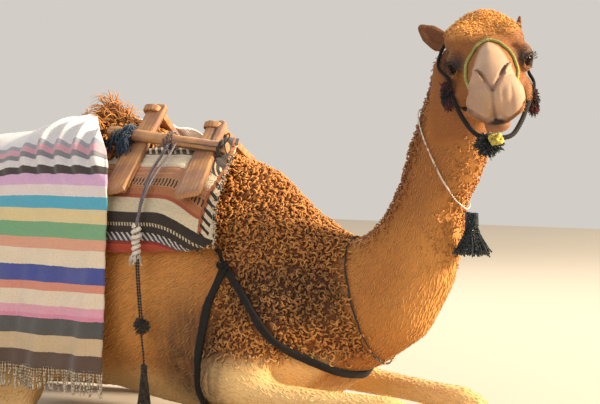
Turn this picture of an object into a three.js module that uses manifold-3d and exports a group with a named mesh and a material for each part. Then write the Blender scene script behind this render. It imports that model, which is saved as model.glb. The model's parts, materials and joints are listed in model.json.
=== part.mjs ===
// A life-size dromedary camel, couched on its breast pad with its head turned to its right, in riding gear.
// Millimetres, +Z up, +X the way the trunk faces, +Y the animal's left. The origin is the middle of the flat
// under the breast pad, on the floor. Each part of the body is a named solid, parted by thin cuts.
import * as THREE from "three";
import { mergeVertices } from "three/addons/utils/BufferGeometryUtils.js";
import Module from "manifold-3d";

const wasm = await Module();
wasm.setup();

// ---------------------------------------------------------------- driving dimensions
const GAP = 0.4; // clearance between pieces that touch
const FACET = 0.15; // the most that merging small facets moves a surface
const WELD = 1e-3; // corners closer than this are one
const FAR = 3000; // larger than the animal, for cutting blocks
const EYE_RADIUS = 20;
const EYE_SPREAD = 92; // from the middle of the face to an eye's centre
const EYE_PLACE = { x: 4, z: -2 }; // an eye's centre ahead of and above the line between the eyes
const HEAD_AT = [846, -197, 1134]; // the point midway between the eyes
const HEAD_YAW = 68; // degrees that the face is turned to the animal's right
const HEAD_ROLL = 6.5; // degrees that its left side is raised
const BOARD = { foot: 84, head: 64, thick: 24 }; // the saddle's crossing boards
const POLE_RADIUS = 21;
const STRAP_THICK = 14;
const CORD_THICK = 9; // of the cord at the root of the neck
const STRING_THICK = 6; // of the string round the neck
const BELLY_CLEARANCE = 8; // of the trunk above the floor
const STRAP_CLEARANCE = 4; // of the girth and the breast strap above the floor
const BLANKET_THICK = 9;
const LEFT_FORE = { lead: 65, drop: 25 }; // how much further forward and lower the left foreleg lies
const FORE_FETLOCK = 190; // where the right fore cannon meets its foot
const HIND_FETLOCK = -730; // where the hind cannons meet their feet
const deg = THREE.MathUtils.degToRad;

// ---------------------------------------------------------------- finishes
const finish = (color, roughness) => new THREE.MeshStandardMaterial({ color, roughness, metalness: 0 });
const COAT = finish("#b9783f", 0.9);
const WOOL = finish("#a5652f", 0.95);
const PALE_COAT = finish("#d2a872", 0.9);
const MUZZLE = finish("#c49a78", 0.8);
const PAD_SKIN = finish("#8a6a50", 0.85);
const EYE = finish("#1b100a", 0.1);
const WOOD = finish("#a86a38", 0.6);
const WOVEN = finish("#b98f62", 0.95);
const STRIPED = finish("#d9c3a0", 0.95);
const BLACK_FELT = finish("#14110f", 0.95);
const GREEN_ROPE = finish("#a8a34c", 0.8);
const GREY_ROPE = finish("#6b6268", 0.9);
const WHITE_YARN = finish("#d8cfc0", 0.95);
const NAVY_YARN = finish("#101b2b", 0.95);
const RED_YARN = finish("#4a1418", 0.95);

// ---------------------------------------------------------------- shape helpers
// A cross-section: its centre, half its width to the side, its height above and depth below that centre,
// the degrees that it is turned to the animal's right, and the degrees that its top leans to the left.
const section = (x, y, z, side, above, below = above, turn = 0, lean = 0) =>
  ({ x, y, z, side, above, below, turn, lean });

const mirrored = (sections, { lead = 0, drop = 0 } = {}) =>
  sections.map((s) => ({ ...s, x: s.x + lead, y: -s.y, z: s.z - drop, turn: -s.turn, lean: -s.lean }));

// A closed body through cross-sections, with rounded ends of the given lengths. The rings stand square to the
// line through their centres, or to one axis where it is given.
function loft(sections, { rings, sides, ends, grow = 0, axis = null }) {
  const spine = new THREE.CatmullRomCurve3(sections.map((s) => new THREE.Vector3(s.x, s.y, s.z)));
  const sizes = new THREE.CatmullRomCurve3(sections.map((s) => new THREE.Vector3(s.side, s.above, s.below)));
  const turns = new THREE.CatmullRomCurve3(sections.map((s) => new THREE.Vector3(s.turn, s.lean, 0)));
  const points = [];
  const heading = (t) => (axis ? new THREE.Vector3(...axis) : spine.getTangent(t));
  const addRing = (t, shift, scale) => {
    const tangent = heading(t);
    const centre = spine.getPoint(t).addScaledVector(tangent, shift);
    const size = sizes.getPoint(t).addScalar(grow).multiplyScalar(scale);
    const { x: turn, y: lean } = turns.getPoint(t);
    const lateral = new THREE.Vector3(Math.sin(deg(turn)), Math.cos(deg(turn)), 0);
    lateral.addScaledVector(tangent, -lateral.dot(tangent)).normalize().applyAxisAngle(tangent, -deg(lean));
    const dorsal = new THREE.Vector3().crossVectors(tangent, lateral);
    for (let i = 0; i < sides; i++) {
      const angle = (2 * Math.PI * i) / sides;
      const height = Math.sin(angle) > 0 ? size.y : size.z;
      const point = centre.clone().addScaledVector(lateral, size.x * Math.cos(angle));
      points.push(point.addScaledVector(dorsal, height * Math.sin(angle)));
    }
  };
  addRing(0, -(ends[0] + grow) * Math.SQRT1_2, Math.SQRT1_2);
  for (let i = 0; i <= rings; i++) addRing(i / rings, 0, 1);
  addRing(1, (ends[1] + grow) * Math.SQRT1_2, Math.SQRT1_2);
  const ringCount = points.length / sides;
  const first = points.length;
  points.push(spine.getPoint(0).addScaledVector(heading(0), -(ends[0] + grow)));
  points.push(spine.getPoint(1).addScaledVector(heading(1), ends[1] + grow));
  const index = [];
  for (let r = 0; r + 1 < ringCount; r++) {
    for (let i = 0; i < sides; i++) {
      const next = (i + 1) % sides;
      const [a, b, c, d] = [r * sides + i, r * sides + next, (r + 1) * sides + i, (r + 1) * sides + next];
      index.push(a, b, c, b, d, c);
    }
  }
  const last = (ringCount - 1) * sides;
  for (let i = 0; i < sides; i++) {
    const next = (i + 1) % sides;
    index.push(first, next, i, first + 1, last + i, last + next);
  }
  return solid(new THREE.BufferGeometry().setFromPoints(points).setIndex(index));
}

// A geometry as a solid for cutting and joining.
function solid(geometry) {
  const bare = new THREE.BufferGeometry().setAttribute("position", geometry.getAttribute("position"));
  bare.setIndex(geometry.index);
  const merged = mergeVertices(bare, WELD);
  return new wasm.Manifold(
    new wasm.Mesh({
      numProp: 3,
      vertProperties: new Float32Array(merged.getAttribute("position").array),
      triVerts: new Uint32Array(merged.index.array),
    }),
  );
}

// An ellipsoid about a point, its radii along X, Y and Z before it is turned.
function ellipsoid([x, y, z], radii, turn = [0, 0, 0], detail = [14, 10], grow = 0) {
  const geometry = new THREE.SphereGeometry(1, ...detail);
  const rotation = new THREE.Quaternion().setFromEuler(new THREE.Euler(...turn.map(deg)));
  const scale = new THREE.Vector3(...radii).addScalar(grow);
  geometry.applyMatrix4(new THREE.Matrix4().compose(new THREE.Vector3(x, y, z), rotation, scale));
  return solid(geometry);
}

// A box whose near face lies at a point and whose depth runs along a direction.
function slab([x, y, z], direction, depth, breadth = FAR, height = FAR) {
  const along = new THREE.Vector3(...direction).normalize();
  const geometry = new THREE.BoxGeometry(breadth, height, depth).translate(0, 0, depth / 2);
  const turn = new THREE.Quaternion().setFromUnitVectors(new THREE.Vector3(0, 0, 1), along);
  geometry.applyQuaternion(turn).translate(x, y, z);
  return solid(geometry);
}

// A flat board between two points: a square foot and a narrower rounded head, its face towards the given
// direction.
function board(from, to, { foot, head, thick }, facing, grow = 0) {
  const [a, b] = [new THREE.Vector3(...from), new THREE.Vector3(...to)];
  const along = b.clone().sub(a);
  const length = along.length();
  along.normalize();
  const normal = new THREE.Vector3(...facing);
  normal.addScaledVector(along, -normal.dot(along)).normalize();
  const across = new THREE.Vector3().crossVectors(along, normal);
  const [wide, narrow] = [foot / 2 + grow, head / 2 + grow];
  const outline = new THREE.Shape();
  const neck = length - head / 2;
  outline.moveTo(-wide, -grow).lineTo(wide, -grow).lineTo(narrow, neck);
  outline.absellipse(0, neck, narrow, head * 0.3 + grow, 0, Math.PI, false);
  outline.closePath();
  const depth = thick + 2 * grow;
  const geometry = new THREE.ExtrudeGeometry(outline, { depth, bevelEnabled: false, curveSegments: 5 });
  geometry.translate(0, 0, -depth / 2);
  geometry.applyMatrix4(new THREE.Matrix4().makeBasis(across, along, normal).setPosition(a));
  return solid(geometry);
}

// A round tube along points.
function tube(points, radius, { sides = 10, steps = 24 } = {}) {
  const path = new THREE.CatmullRomCurve3(points.map((p) => new THREE.Vector3(...p)));
  const outline = new THREE.Shape();
  for (let i = 0; i < sides; i++) {
    const angle = (2 * Math.PI * i) / sides;
    outline[i ? "lineTo" : "moveTo"](radius * Math.cos(angle), radius * Math.sin(angle));
  }
  outline.closePath();
  return solid(new THREE.ExtrudeGeometry(outline, { steps, bevelEnabled: false, extrudePath: path }));
}

const join = (...solids) => solids.reduce((all, s) => all.add(s));
const cut = (body, ...tools) => tools.reduce((left, s) => left.subtract(s), body);
const above = (body, z = 0) => body.subtract(slab([0, 0, z], [0, 0, -1], FAR));

// The largest of the bodies that a cut leaves.
function main(body) {
  const pieces = body.decompose();
  return pieces.reduce((best, s) => (s.volume() > best.volume() ? s : best));
}

// ---------------------------------------------------------------- trunk, hump and shoulders
// Cross-sections of the trunk from the rump to the breast: distance ahead of the breast pad, height of the
// middle, height of the back, height of the belly and half width.
const torso = (x, middle, back, belly, half) => section(x, 0, middle, half, back - middle, middle - belly);
const TRUNK = [
  torso(-1120, 510, 600, 430, 95),
  torso(-1040, 520, 705, 330, 190),
  torso(-930, 510, 785, 235, 262),
  torso(-780, 480, 822, 160, 318),
  torso(-600, 460, 835, 110, 348),
  torso(-400, 445, 828, 75, 350),
  torso(-200, 440, 812, 45, 330),
  torso(-20, 440, 790, 30, 300),
  torso(130, 440, 738, 55, 262),
  torso(250, 440, 664, 110, 218),
  torso(340, 430, 622, 180, 168),
];
const HUMP = [
  section(165, 0, 655, 75, 80),
  section(40, 0, 725, 125, 114),
  section(-80, 0, 750, 150, 116),
  section(-200, 0, 765, 168, 135),
  section(-330, 0, 775, 185, 155),
  section(-450, 0, 785, 195, 193),
  section(-560, 0, 790, 197, 215),
  section(-670, 0, 785, 190, 187),
  section(-800, 0, 775, 172, 150),
  section(-930, 0, 745, 140, 100),
  section(-1010, 0, 700, 90, 80),
];
const SHOULDER = [
  section(40, -120, 640, 80, 90, 120),
  section(95, -158, 560, 88, 115, 150),
  section(135, -182, 460, 90, 130, 165),
  section(140, -212, 350, 82, 120, 150),
  section(75, -244, 262, 68, 100, 100),
];
const TUFT = { at: [-592, -5, 975], radii: [82, 72, 96] };

const torsoWith = (grow) =>
  join(
    loft(TRUNK, { rings: 9, sides: 16, ends: [35, 60], grow, axis: [1, 0, 0] }),
    loft(HUMP, { rings: 10, sides: 12, ends: [30, 30], grow, axis: [-1, 0, 0] }),
    loft(SHOULDER, { rings: 3, sides: 8, ends: [40, 30], grow }),
    loft(mirrored(SHOULDER), { rings: 3, sides: 8, ends: [40, 30], grow }),
  );

// ---------------------------------------------------------------- neck and head
const NECK = [
  section(215, 0, 420, 165, 205, 225),
  section(350, 0, 428, 146, 200, 214),
  section(450, 0, 482, 126, 180, 192),
  section(518, 2, 570, 112, 156, 162),
  section(562, 2, 670, 104, 132, 138, 3),
  section(594, -6, 765, 98, 118, 112, 6),
  section(624, -20, 850, 96, 120, 144, 10),
  section(654, -38, 925, 96, 116, 152, 16),
  section(684, -58, 1000, 96, 108, 128, 26),
  section(706, -74, 1065, 94, 100, 100, 40),
  section(722, -84, 1115, 98, 98, 88, 54),
  section(742, -90, 1160, 72, 68, 62, 66),
];
const neckWith = (grow) => loft(NECK, { rings: 11, sides: 12, ends: [30, 20], grow });

// The head in its own frame: x forward from the eyes, y to its left, z up from the line of the eyes.
const facial = (x, middle, top, bottom, half, y = 0) =>
  section(x, y, middle, half, top - middle, middle - bottom);
const HEAD = [
  facial(-175, 10, 98, -90, 70, -12),
  facial(-135, 15, 144, -135, 106, -12),
  facial(-85, 18, 157, -150, 114, -10),
  facial(-40, 6, 136, -158, 110, -4),
  facial(-5, -12, 88, -160, 97),
  facial(40, -32, 56, -158, 80),
  facial(95, -50, 44, -155, 64),
  facial(155, -65, 28, -156, 58),
  facial(205, -80, 6, -156, 60),
  facial(240, -88, -14, -146, 60),
  facial(262, -92, -38, -134, 50),
];
const BROW = { at: [-14, 84, 20], radii: [46, 31, 36] };
const CHEEK = { at: [-62, 54, -98], radii: [82, 38, 62] };
const UPPER_LIP = { at: [226, 35, -88], radii: [48, 36, 54] };
const CHIN = { at: [190, 0, -158], radii: [46, 36, 30] };
const EAR = { length: 115, width: 36, thick: 15, hollow: 17 };
const EARS = {
  right: { at: [-145, -106, 56], toward: [-0.13, -0.73, 0.67], front: [1, 0, 0.2], turn: 0 },
  left: { at: [-160, 74, 18], toward: [-0.13, 0.22, 0.965], front: [0.25, 0.96, -0.18], turn: 80 },
};

const headFrame = new THREE.Matrix4().compose(
  new THREE.Vector3(...HEAD_AT),
  new THREE.Quaternion().setFromEuler(new THREE.Euler(deg(HEAD_ROLL), 0, deg(-HEAD_YAW), "ZYX")),
  new THREE.Vector3(1, 1, 1),
);
const onHead = (body) => body.transform(headFrame.toArray());
const bothSides = (make) => [-1, 1].map(make);
const paired = ({ at: [x, y, z], radii }, side, grow) =>
  ellipsoid([x, side * y, z], radii, [0, 0, 0], [8, 5], grow);

const headWith = (grow) =>
  join(
    loft(HEAD, { rings: 10, sides: 12, ends: [24, 14], grow, axis: [1, 0, 0] }),
    ...bothSides((side) => paired(BROW, side, grow)),
    ...bothSides((side) => paired(CHEEK, side, grow)),
    ...bothSides((side) => paired(UPPER_LIP, side, grow)),
    ellipsoid(CHIN.at, CHIN.radii, [0, 0, 0], [8, 6], grow),
  );

const eyeball = (side, grow = 0) => {
  const centre = [EYE_PLACE.x, side * EYE_SPREAD, EYE_PLACE.z];
  return ellipsoid(centre, [EYE_RADIUS, EYE_RADIUS, EYE_RADIUS], [0, 0, 0], [10, 6], grow);
};

// A cupped ear: a flattened loft with a hollow pressed into its front.
function ear({ at, toward, front, turn }) {
  const along = (t, shift, width, thick) => {
    const [x, y, z] = at.map((v, i) => v + toward[i] * EAR.length * t + front[i] * shift);
    return section(x, y, z, width, thick, thick, turn);
  };
  const outer = [
    along(0, 0, 20, 18),
    along(0.3, 0, EAR.width, EAR.thick),
    along(0.65, 0, EAR.width * 0.92, 11),
    along(0.92, 0, EAR.width * 0.45, 6),
  ];
  const bowl = [
    along(0.16, EAR.hollow, 8, 12),
    along(0.4, EAR.hollow, 20, 16),
    along(0.7, EAR.hollow, 18, 14),
    along(0.88, EAR.hollow, 8, 10),
  ];
  return cut(
    loft(outer, { rings: 3, sides: 8, ends: [12, 10] }),
    loft(bowl, { rings: 3, sides: 6, ends: [5, 5] }),
  );
}

// ---------------------------------------------------------------- legs and tail, the animal's right side
const FOREARM = [
  section(-15, -262, 205, 62, 92, 88),
  section(50, -262, 208, 66, 104, 86),
  section(120, -256, 182, 60, 60, 66),
  section(210, -244, 168, 54, 50, 52),
  section(330, -226, 160, 48, 49, 46),
  section(440, -203, 153, 48, 52, 46),
  section(530, -185, 140, 54, 66, 56),
  section(600, -175, 108, 53, 70, 60),
];
const FORE_CANNON = [
  section(590, -176, 50, 50, 50, 62),
  section(470, -194, 40, 36, 40, 44),
  section(310, -214, 34, 33, 36, 38),
  section(190, -228, 40, 39, 40, 46),
];
const FORE_FOOT = [
  section(190, -228, 40, 38, 38, 46),
  section(110, -238, 38, 44, 36, 48),
  section(20, -244, 36, 60, 34, 48),
  section(-55, -248, 34, 52, 28, 44),
];
const THIGH = [
  section(-950, -150, 640, 70, 120, 120),
  section(-900, -215, 500, 95, 165, 150),
  section(-820, -276, 350, 90, 175, 150),
  section(-720, -304, 220, 72, 120, 120),
  section(-655, -314, 140, 60, 80, 80),
];
const GASKIN = [
  section(-650, -312, 120, 56, 70, 70),
  section(-780, -324, 150, 54, 78, 62),
  section(-930, -318, 155, 48, 62, 52),
  section(-1050, -300, 140, 44, 56, 50),
  section(-1110, -285, 105, 44, 58, 56),
];
const HIND_CANNON = [
  section(-1128, -280, 52, 44, 50, 58),
  section(-1020, -306, 42, 34, 38, 46),
  section(-860, -336, 38, 32, 34, 42),
  section(-730, -352, 40, 38, 36, 46),
];
const HIND_FOOT = [
  section(-730, -352, 40, 37, 35, 46),
  section(-650, -358, 38, 46, 34, 44),
  section(-560, -363, 34, 58, 32, 40),
  section(-490, -365, 28, 48, 24, 34),
];
const TAIL = [
  section(-1100, 0, 600, 52, 40),
  section(-1168, 6, 540, 34, 30),
  section(-1196, 16, 430, 22, 22),
  section(-1202, 26, 320, 20, 20),
  section(-1196, 34, 210, 30, 26),
  section(-1192, 38, 120, 34, 30),
  section(-1192, 38, 50, 18, 16),
];
const BREAST_PAD = [
  section(-95, 0, 34, 62, 40, 44),
  section(0, 0, 34, 92, 42, 46),
  section(90, 0, 38, 66, 40, 46),
];

const limb = (sections, rings, ends, grow = 0) => loft(sections, { rings, sides: 8, ends, grow });

// ---------------------------------------------------------------- flesh, parted by thin cuts
const NECK_CUT = { at: [370, 0, 455], facing: [0.96, 0, 0.28] };
const HUMP_CUT = { at: [-450, 0, 800], facing: [0.1, 0, 1] };
const NAPE_CUT = { at: [-150, 0, 0], facing: [1, 0, -0.1] };
const THROAT_CUT = { at: [-130, 0, -160], facing: [0.178, 0, 0.984] };
const ahead = ({ at, facing }) => slab(at, facing, FAR);
const behind = ({ at, facing }) => slab(at, facing.map((v) => -v), FAR);
const parting = ({ at, facing }) => slab(at, facing, GAP);
const backed = ({ at, facing }) => ({ at: at.map((v, i) => v - facing[i] * GAP), facing });

const body = join(torsoWith(0), neckWith(0));
const headShape = onHead(headWith(0));
const eyes = bothSides((side) => onHead(eyeball(side)));
const eyeSockets = bothSides((side) => onHead(eyeball(side, GAP)));
const headSide = onHead(ahead(NAPE_CUT).intersect(ahead(THROAT_CUT)));
const headRoom = onHead(ahead(backed(NAPE_CUT)).intersect(ahead(backed(THROAT_CUT))));
const tuftWith = (grow) => ellipsoid(TUFT.at, TUFT.radii, [0, 0, 0], [10, 8], grow);

const breastPadWith = (grow) => loft(BREAST_PAD, { rings: 3, sides: 12, ends: [20, 20], grow });
const breastPad = above(breastPadWith(0));
const breastPadRoom = breastPadWith(GAP);
const withoutNeck = cut(body, ahead(NECK_CUT), parting(NECK_CUT));
const withoutHump = cut(withoutNeck, ahead(HUMP_CUT), parting(HUMP_CUT), breastPadRoom);
const trunk = main(above(withoutHump, BELLY_CLEARANCE));
const hump = main(cut(join(withoutNeck, tuftWith(0)), behind(HUMP_CUT), parting(HUMP_CUT)));
const throatAndHead = join(cut(body, behind(NECK_CUT), parting(NECK_CUT)), headShape);
const neck = main(cut(throatAndHead, headRoom));
const head = main(cut(throatAndHead.intersect(headSide), ...eyeSockets));
const tail = main(above(cut(limb(TAIL, 7, [20, 26]), torsoWith(GAP))));
const earRooms = [onHead(headWith(GAP)), neckWith(GAP)];
const ears = Object.values(EARS).map((place) => main(cut(onHead(ear(place)), ...earRooms)));
const torsoRoom = join(torsoWith(GAP), breastPadRoom);

// One foreleg folded under itself: the cannon lies back beneath the forearm.
function foreleg(side) {
  const own = (sections) => (side < 0 ? sections : mirrored(sections, LEFT_FORE));
  const arm = limb(own(FOREARM), 7, [38, 16]);
  const armRoom = limb(own(FOREARM), 7, [38, 16], GAP);
  const shin = limb(own(FORE_CANNON), 3, [20, 6]);
  const foot = limb(own(FORE_FOOT), 4, [6, 18]);
  const fetlock = [FORE_FETLOCK + (side < 0 ? 0 : LEFT_FORE.lead), 0, 0];
  const split = slab(fetlock, [1, 0, 0], GAP);
  const front = slab(fetlock, [1, 0, 0], FAR);
  const rear = slab(fetlock, [-1, 0, 0], FAR);
  return {
    forearm: main(above(cut(arm, torsoRoom))),
    cannon: main(above(cut(shin, armRoom, torsoRoom, split, rear))),
    foot: main(above(cut(foot, armRoom, torsoRoom, front))),
  };
}

// One hind leg: thigh along the flank, gaskin back to the hock, cannon forward along the floor.
function hindleg(side) {
  const own = (sections) => (side < 0 ? sections : mirrored(sections));
  const thigh = limb(own(THIGH), 5, [40, 30]);
  const thighRoom = limb(own(THIGH), 5, [40, 30], GAP);
  const gaskin = limb(own(GASKIN), 5, [20, 16]);
  const gaskinRoom = limb(own(GASKIN), 5, [20, 16], GAP);
  const shin = limb(own(HIND_CANNON), 3, [16, 6]);
  const foot = limb(own(HIND_FOOT), 4, [6, 20]);
  const split = slab([HIND_FETLOCK, 0, 0], [-1, 0, 0], GAP);
  const front = slab([HIND_FETLOCK, 0, 0], [1, 0, 0], FAR);
  const rear = slab([HIND_FETLOCK, 0, 0], [-1, 0, 0], FAR);
  return {
    thigh: main(above(cut(thigh, torsoRoom))),
    gaskin: main(above(cut(gaskin, torsoRoom, thighRoom))),
    cannon: main(above(cut(shin, torsoRoom, thighRoom, gaskinRoom, split, front))),
    foot: main(above(cut(foot, torsoRoom, thighRoom, gaskinRoom, rear))),
  };
}

// ---------------------------------------------------------------- saddle
// Each arch is two boards that cross over the hump in a half lap; their lower ends are paddles on the pad.
const ARCHES = {
  front: { foot: [-42, -350, 756], head: [-182, 34, 976] },
  rear: { foot: [-318, -350, 758], head: [-414, 36, 1034] },
};
const LEFT_LAG = 150; // how much further back the saddle's left side lies
const LAP_AT = 0.95; // how far up an arch its boards cross
const POLES = {
  right: { rear: [-472, -166, 942], front: [-36, -143, 890] },
  left: { rear: [-530, 253, 872], front: [-190, 249, 842] },
};
// Cross-sections of the pad from its left hem over the back to its right hem, each turned to lie along X.
const PAD_SIDE = [
  section(-244, -318, 612, 262, 34, 60, 90),
  section(-248, -300, 690, 266, 42, 60, 90),
  section(-252, -235, 780, 262, 42, 60, 90),
  section(-262, -130, 866, 240, 28, 60, 90),
];
const padMirror = ({ x, y, ...rest }) => ({ ...rest, x: x - LEFT_LAG, y: -y });
const PAD = [
  ...PAD_SIDE.map(padMirror),
  section(-262 - LEFT_LAG / 2, 0, 908, 190, 16, 60, 90),
  ...[...PAD_SIDE].reverse(),
];
const CUSHION = [
  section(-945, 230, 785, 92, 68, 66, 90),
  section(-945, 140, 832, 106, 78, 76, 90),
  section(-945, 0, 848, 110, 80, 78, 90),
  section(-945, -140, 832, 106, 78, 76, 90),
  section(-945, -230, 785, 92, 68, 66, 90),
];

// The right and left board of an arch, before the half lap is cut.
function archBoards({ foot: [x, y, z], head: [tipX, tipY, tipZ] }, grow = 0) {
  const facing = [-1, 1].map((side) => [0, side * (tipZ - z), tipY - y]);
  return [
    board([x, y, z], [tipX, tipY, tipZ], BOARD, facing[0], grow),
    board([x - LEFT_LAG, -y, z], [tipX, -tipY, tipZ], BOARD, facing[1], grow),
  ];
}

function lapped(arch) {
  const [right, left] = archBoards(arch);
  const [rightRoom, leftRoom] = archBoards(arch, GAP);
  const middle = arch.foot[0] + (arch.head[0] - arch.foot[0]) * LAP_AT;
  const front = slab([middle, 0, 0], [1, 0, 0], FAR);
  const rear = slab([middle + GAP, 0, 0], [-1, 0, 0], FAR);
  return [main(cut(right, leftRoom.intersect(front))), main(cut(left, rightRoom.intersect(rear)))];
}

const boards = Object.fromEntries(Object.entries(ARCHES).map(([name, arch]) => [name, lapped(arch)]));
const boardRoom = join(...Object.values(ARCHES).flatMap((arch) => archBoards(arch, GAP)));
const rod = ({ rear, front }, radius) => tube([rear, front], radius, { sides: 10, steps: 1 });
const poles = Object.values(POLES).map((place) => cut(rod(place, POLE_RADIUS), boardRoom));
const poleRoom = join(...Object.values(POLES).map((place) => rod(place, POLE_RADIUS + GAP)));

const padWith = (grow) => loft(PAD, { rings: 10, sides: 10, ends: [42, 42], grow });
const cushionWith = (grow) => loft(CUSHION, { rings: 5, sides: 8, ends: [40, 40], grow });
const pad = main(cut(padWith(0), torsoWith(GAP), boardRoom, poleRoom));
const cushion = main(cut(cushionWith(0), torsoWith(GAP)));

// ---------------------------------------------------------------- blanket
// A cloth over the back, as a sheet between an outer and an inner surface. Across it runs from the right hem
// over the back to the left hem; along it runs from its front edge to its rear edge.
const BLANKET = {
  hem: 138, // height of the ends of its fringe
  shoulder: { width: 352, height: 700, roundness: 2.6 }, // where the cloth leaves the back and hangs
  shoulderAt: 0.42, // how far along each half, from the ridge, the cloth reaches that shoulder
  ease: 25, // how far it stands off the body there
  narrowing: { by: 0.1, from: 850, to: 1080 }, // towards the rump, by distance behind the breast pad
  spread: 30, // how much wider it stands at the hem
  ridge: [992, 972, 950, 946, 940, 862], // height of its top, from front to rear
  front: [-628, -318], // its front edge at the top and at the side
  rear: [-1072, -1010], // its rear edge at the top and at the side
  across: 16,
  along: 4,
};

function blanketPoint(across, along, inset) {
  const { hem, shoulder, shoulderAt, ease, narrowing, spread, ridge, front, rear } = BLANKET;
  const side = Math.abs(2 * across - 1); // 1 at the hems, 0 on the ridge
  const sign = across < 0.5 ? -1 : 1;
  const drop = Math.min(1, side / shoulderAt);
  const edge = (pair) => THREE.MathUtils.lerp(pair[0], pair[1], Math.sin((Math.PI / 2) * drop));
  const x = THREE.MathUtils.lerp(edge(front), edge(rear), along);
  const place = THREE.MathUtils.clamp((front[0] - x) / (front[0] - rear[0]), 0, 1) * (ridge.length - 1);
  const step = Math.min(Math.floor(place), ridge.length - 2);
  const top = THREE.MathUtils.lerp(ridge[step], ridge[step + 1], place - step) - inset;
  const narrowed = 1 - narrowing.by * THREE.MathUtils.smoothstep(-x, narrowing.from, narrowing.to);
  const width = shoulder.width * narrowed + ease - inset;
  if (side < shoulderAt) {
    const angle = (Math.PI / 2) * drop;
    const power = 2 / shoulder.roundness;
    const y = sign * width * Math.sin(angle) ** power;
    return [x, y, shoulder.height + (top - shoulder.height) * Math.cos(angle) ** power];
  }
  const down = (side - shoulderAt) / (1 - shoulderAt);
  const flare = spread * Math.sin((Math.PI / 2) * down);
  return [x, sign * (width + flare), THREE.MathUtils.lerp(shoulder.height, hem, down)];
}

function drape({ across, along }, thick) {
  const points = [];
  for (const inset of [0, thick]) {
    for (let j = 0; j <= along; j++) {
      for (let i = 0; i <= across; i++) {
        points.push(new THREE.Vector3(...blanketPoint(i / across, j / along, inset)));
      }
    }
  }
  const layer = (across + 1) * (along + 1);
  const at = (i, j, k) => k * layer + j * (across + 1) + i;
  const index = [];
  const quad = (a, b, c, d) => index.push(a, b, c, a, c, d);
  for (let j = 0; j < along; j++) {
    for (let i = 0; i < across; i++) {
      quad(at(i, j, 0), at(i + 1, j, 0), at(i + 1, j + 1, 0), at(i, j + 1, 0));
      quad(at(i, j, 1), at(i, j + 1, 1), at(i + 1, j + 1, 1), at(i + 1, j, 1));
    }
    quad(at(0, j, 0), at(0, j + 1, 0), at(0, j + 1, 1), at(0, j, 1));
    quad(at(across, j, 0), at(across, j, 1), at(across, j + 1, 1), at(across, j + 1, 0));
  }
  for (let i = 0; i < across; i++) {
    quad(at(i, 0, 0), at(i, 0, 1), at(i + 1, 0, 1), at(i + 1, 0, 0));
    quad(at(i, along, 0), at(i + 1, along, 0), at(i + 1, along, 1), at(i, along, 1));
  }
  return solid(new THREE.BufferGeometry().setFromPoints(points).setIndex(index));
}

const hindlegsRoom = join(
  ...[THIGH, GASKIN].flatMap((part) => [part, mirrored(part)].map((own) => limb(own, 5, [40, 30], GAP))),
);
const saddleRoom = join(padWith(GAP), cushionWith(GAP), boardRoom, poleRoom);
const blanket = main(
  cut(drape(BLANKET, BLANKET_THICK), torsoWith(GAP), tuftWith(GAP), hindlegsRoom, saddleRoom),
);

// ---------------------------------------------------------------- girth, breast strap and neck cords
// A band round a body where a plane cuts it.
const band = (shape, { at, facing, width }, thick) =>
  cut(shape(thick), shape(GAP)).intersect(slab(at.map((v, i) => v - (facing[i] * width) / 2), facing, width));
const GIRTH = { at: [20, 0, 520], facing: [0.96, 0, -0.28], width: 30 };
const BREAST_STRAP = {
  bend: 232, // how far ahead the strap turns flatter
  side: { at: [232, 0, 290], facing: [0.8, 0, 0.6], width: 26 },
  front: { at: [232, 0, 290], facing: [0.502, 0, 0.865], width: 26 },
  room: 30, // kept clear of the neck cord
};
const NECK_CORD = { at: [384, 0, 455], facing: [0.96, 0, 0.28], width: 9 };
const NECK_STRING = { at: [666, -99, 807], facing: [0.91, 0.07, 0.41], width: 6 };
const STRAP_TOP = 590; // where the girth and the breast strap pass under the pad

const bodyWith = (grow) => join(torsoWith(grow), neckWith(grow));
const forelegsRoom = join(
  ...[FOREARM, FORE_CANNON, FORE_FOOT].flatMap((part) =>
    [part, mirrored(part, LEFT_FORE)].map((own) => limb(own, 7, [38, 18], GAP)),
  ),
);
const underPad = slab([0, 0, STRAP_TOP], [0, 0, 1], FAR);
const strapStops = join(underPad, padWith(GAP), forelegsRoom);
const girthBand = cut(band(torsoWith, GIRTH, STRAP_THICK), strapStops, breastPadRoom);
const girth = main(above(girthBand, STRAP_CLEARANCE));
const girthEdge = GIRTH.at.map((v, i) => v - GIRTH.facing[i] * (GIRTH.width / 2 + GAP));
const girthRoom = slab(girthEdge, GIRTH.facing, GIRTH.width + 2 * GAP);
const strapTurn = (sign) => slab([BREAST_STRAP.bend, 0, 0], [sign, 0, 0], FAR);
const strapRing = join(
  band(bodyWith, BREAST_STRAP.side, STRAP_THICK).intersect(strapTurn(-1)),
  band(bodyWith, BREAST_STRAP.front, STRAP_THICK).intersect(strapTurn(1)),
);
const breastStrap = main(above(cut(strapRing, strapStops, girthRoom), STRAP_CLEARANCE));
const widened = (part) => ({ ...part, width: BREAST_STRAP.room });
const strapRoom = join(
  band(bodyWith, widened(BREAST_STRAP.side), STRAP_THICK + GAP),
  band(bodyWith, widened(BREAST_STRAP.front), STRAP_THICK + GAP),
);
const neckCord = main(cut(band(bodyWith, NECK_CORD, CORD_THICK), strapRoom, forelegsRoom));
const neckString = main(band(neckWith, NECK_STRING, STRING_THICK));

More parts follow.
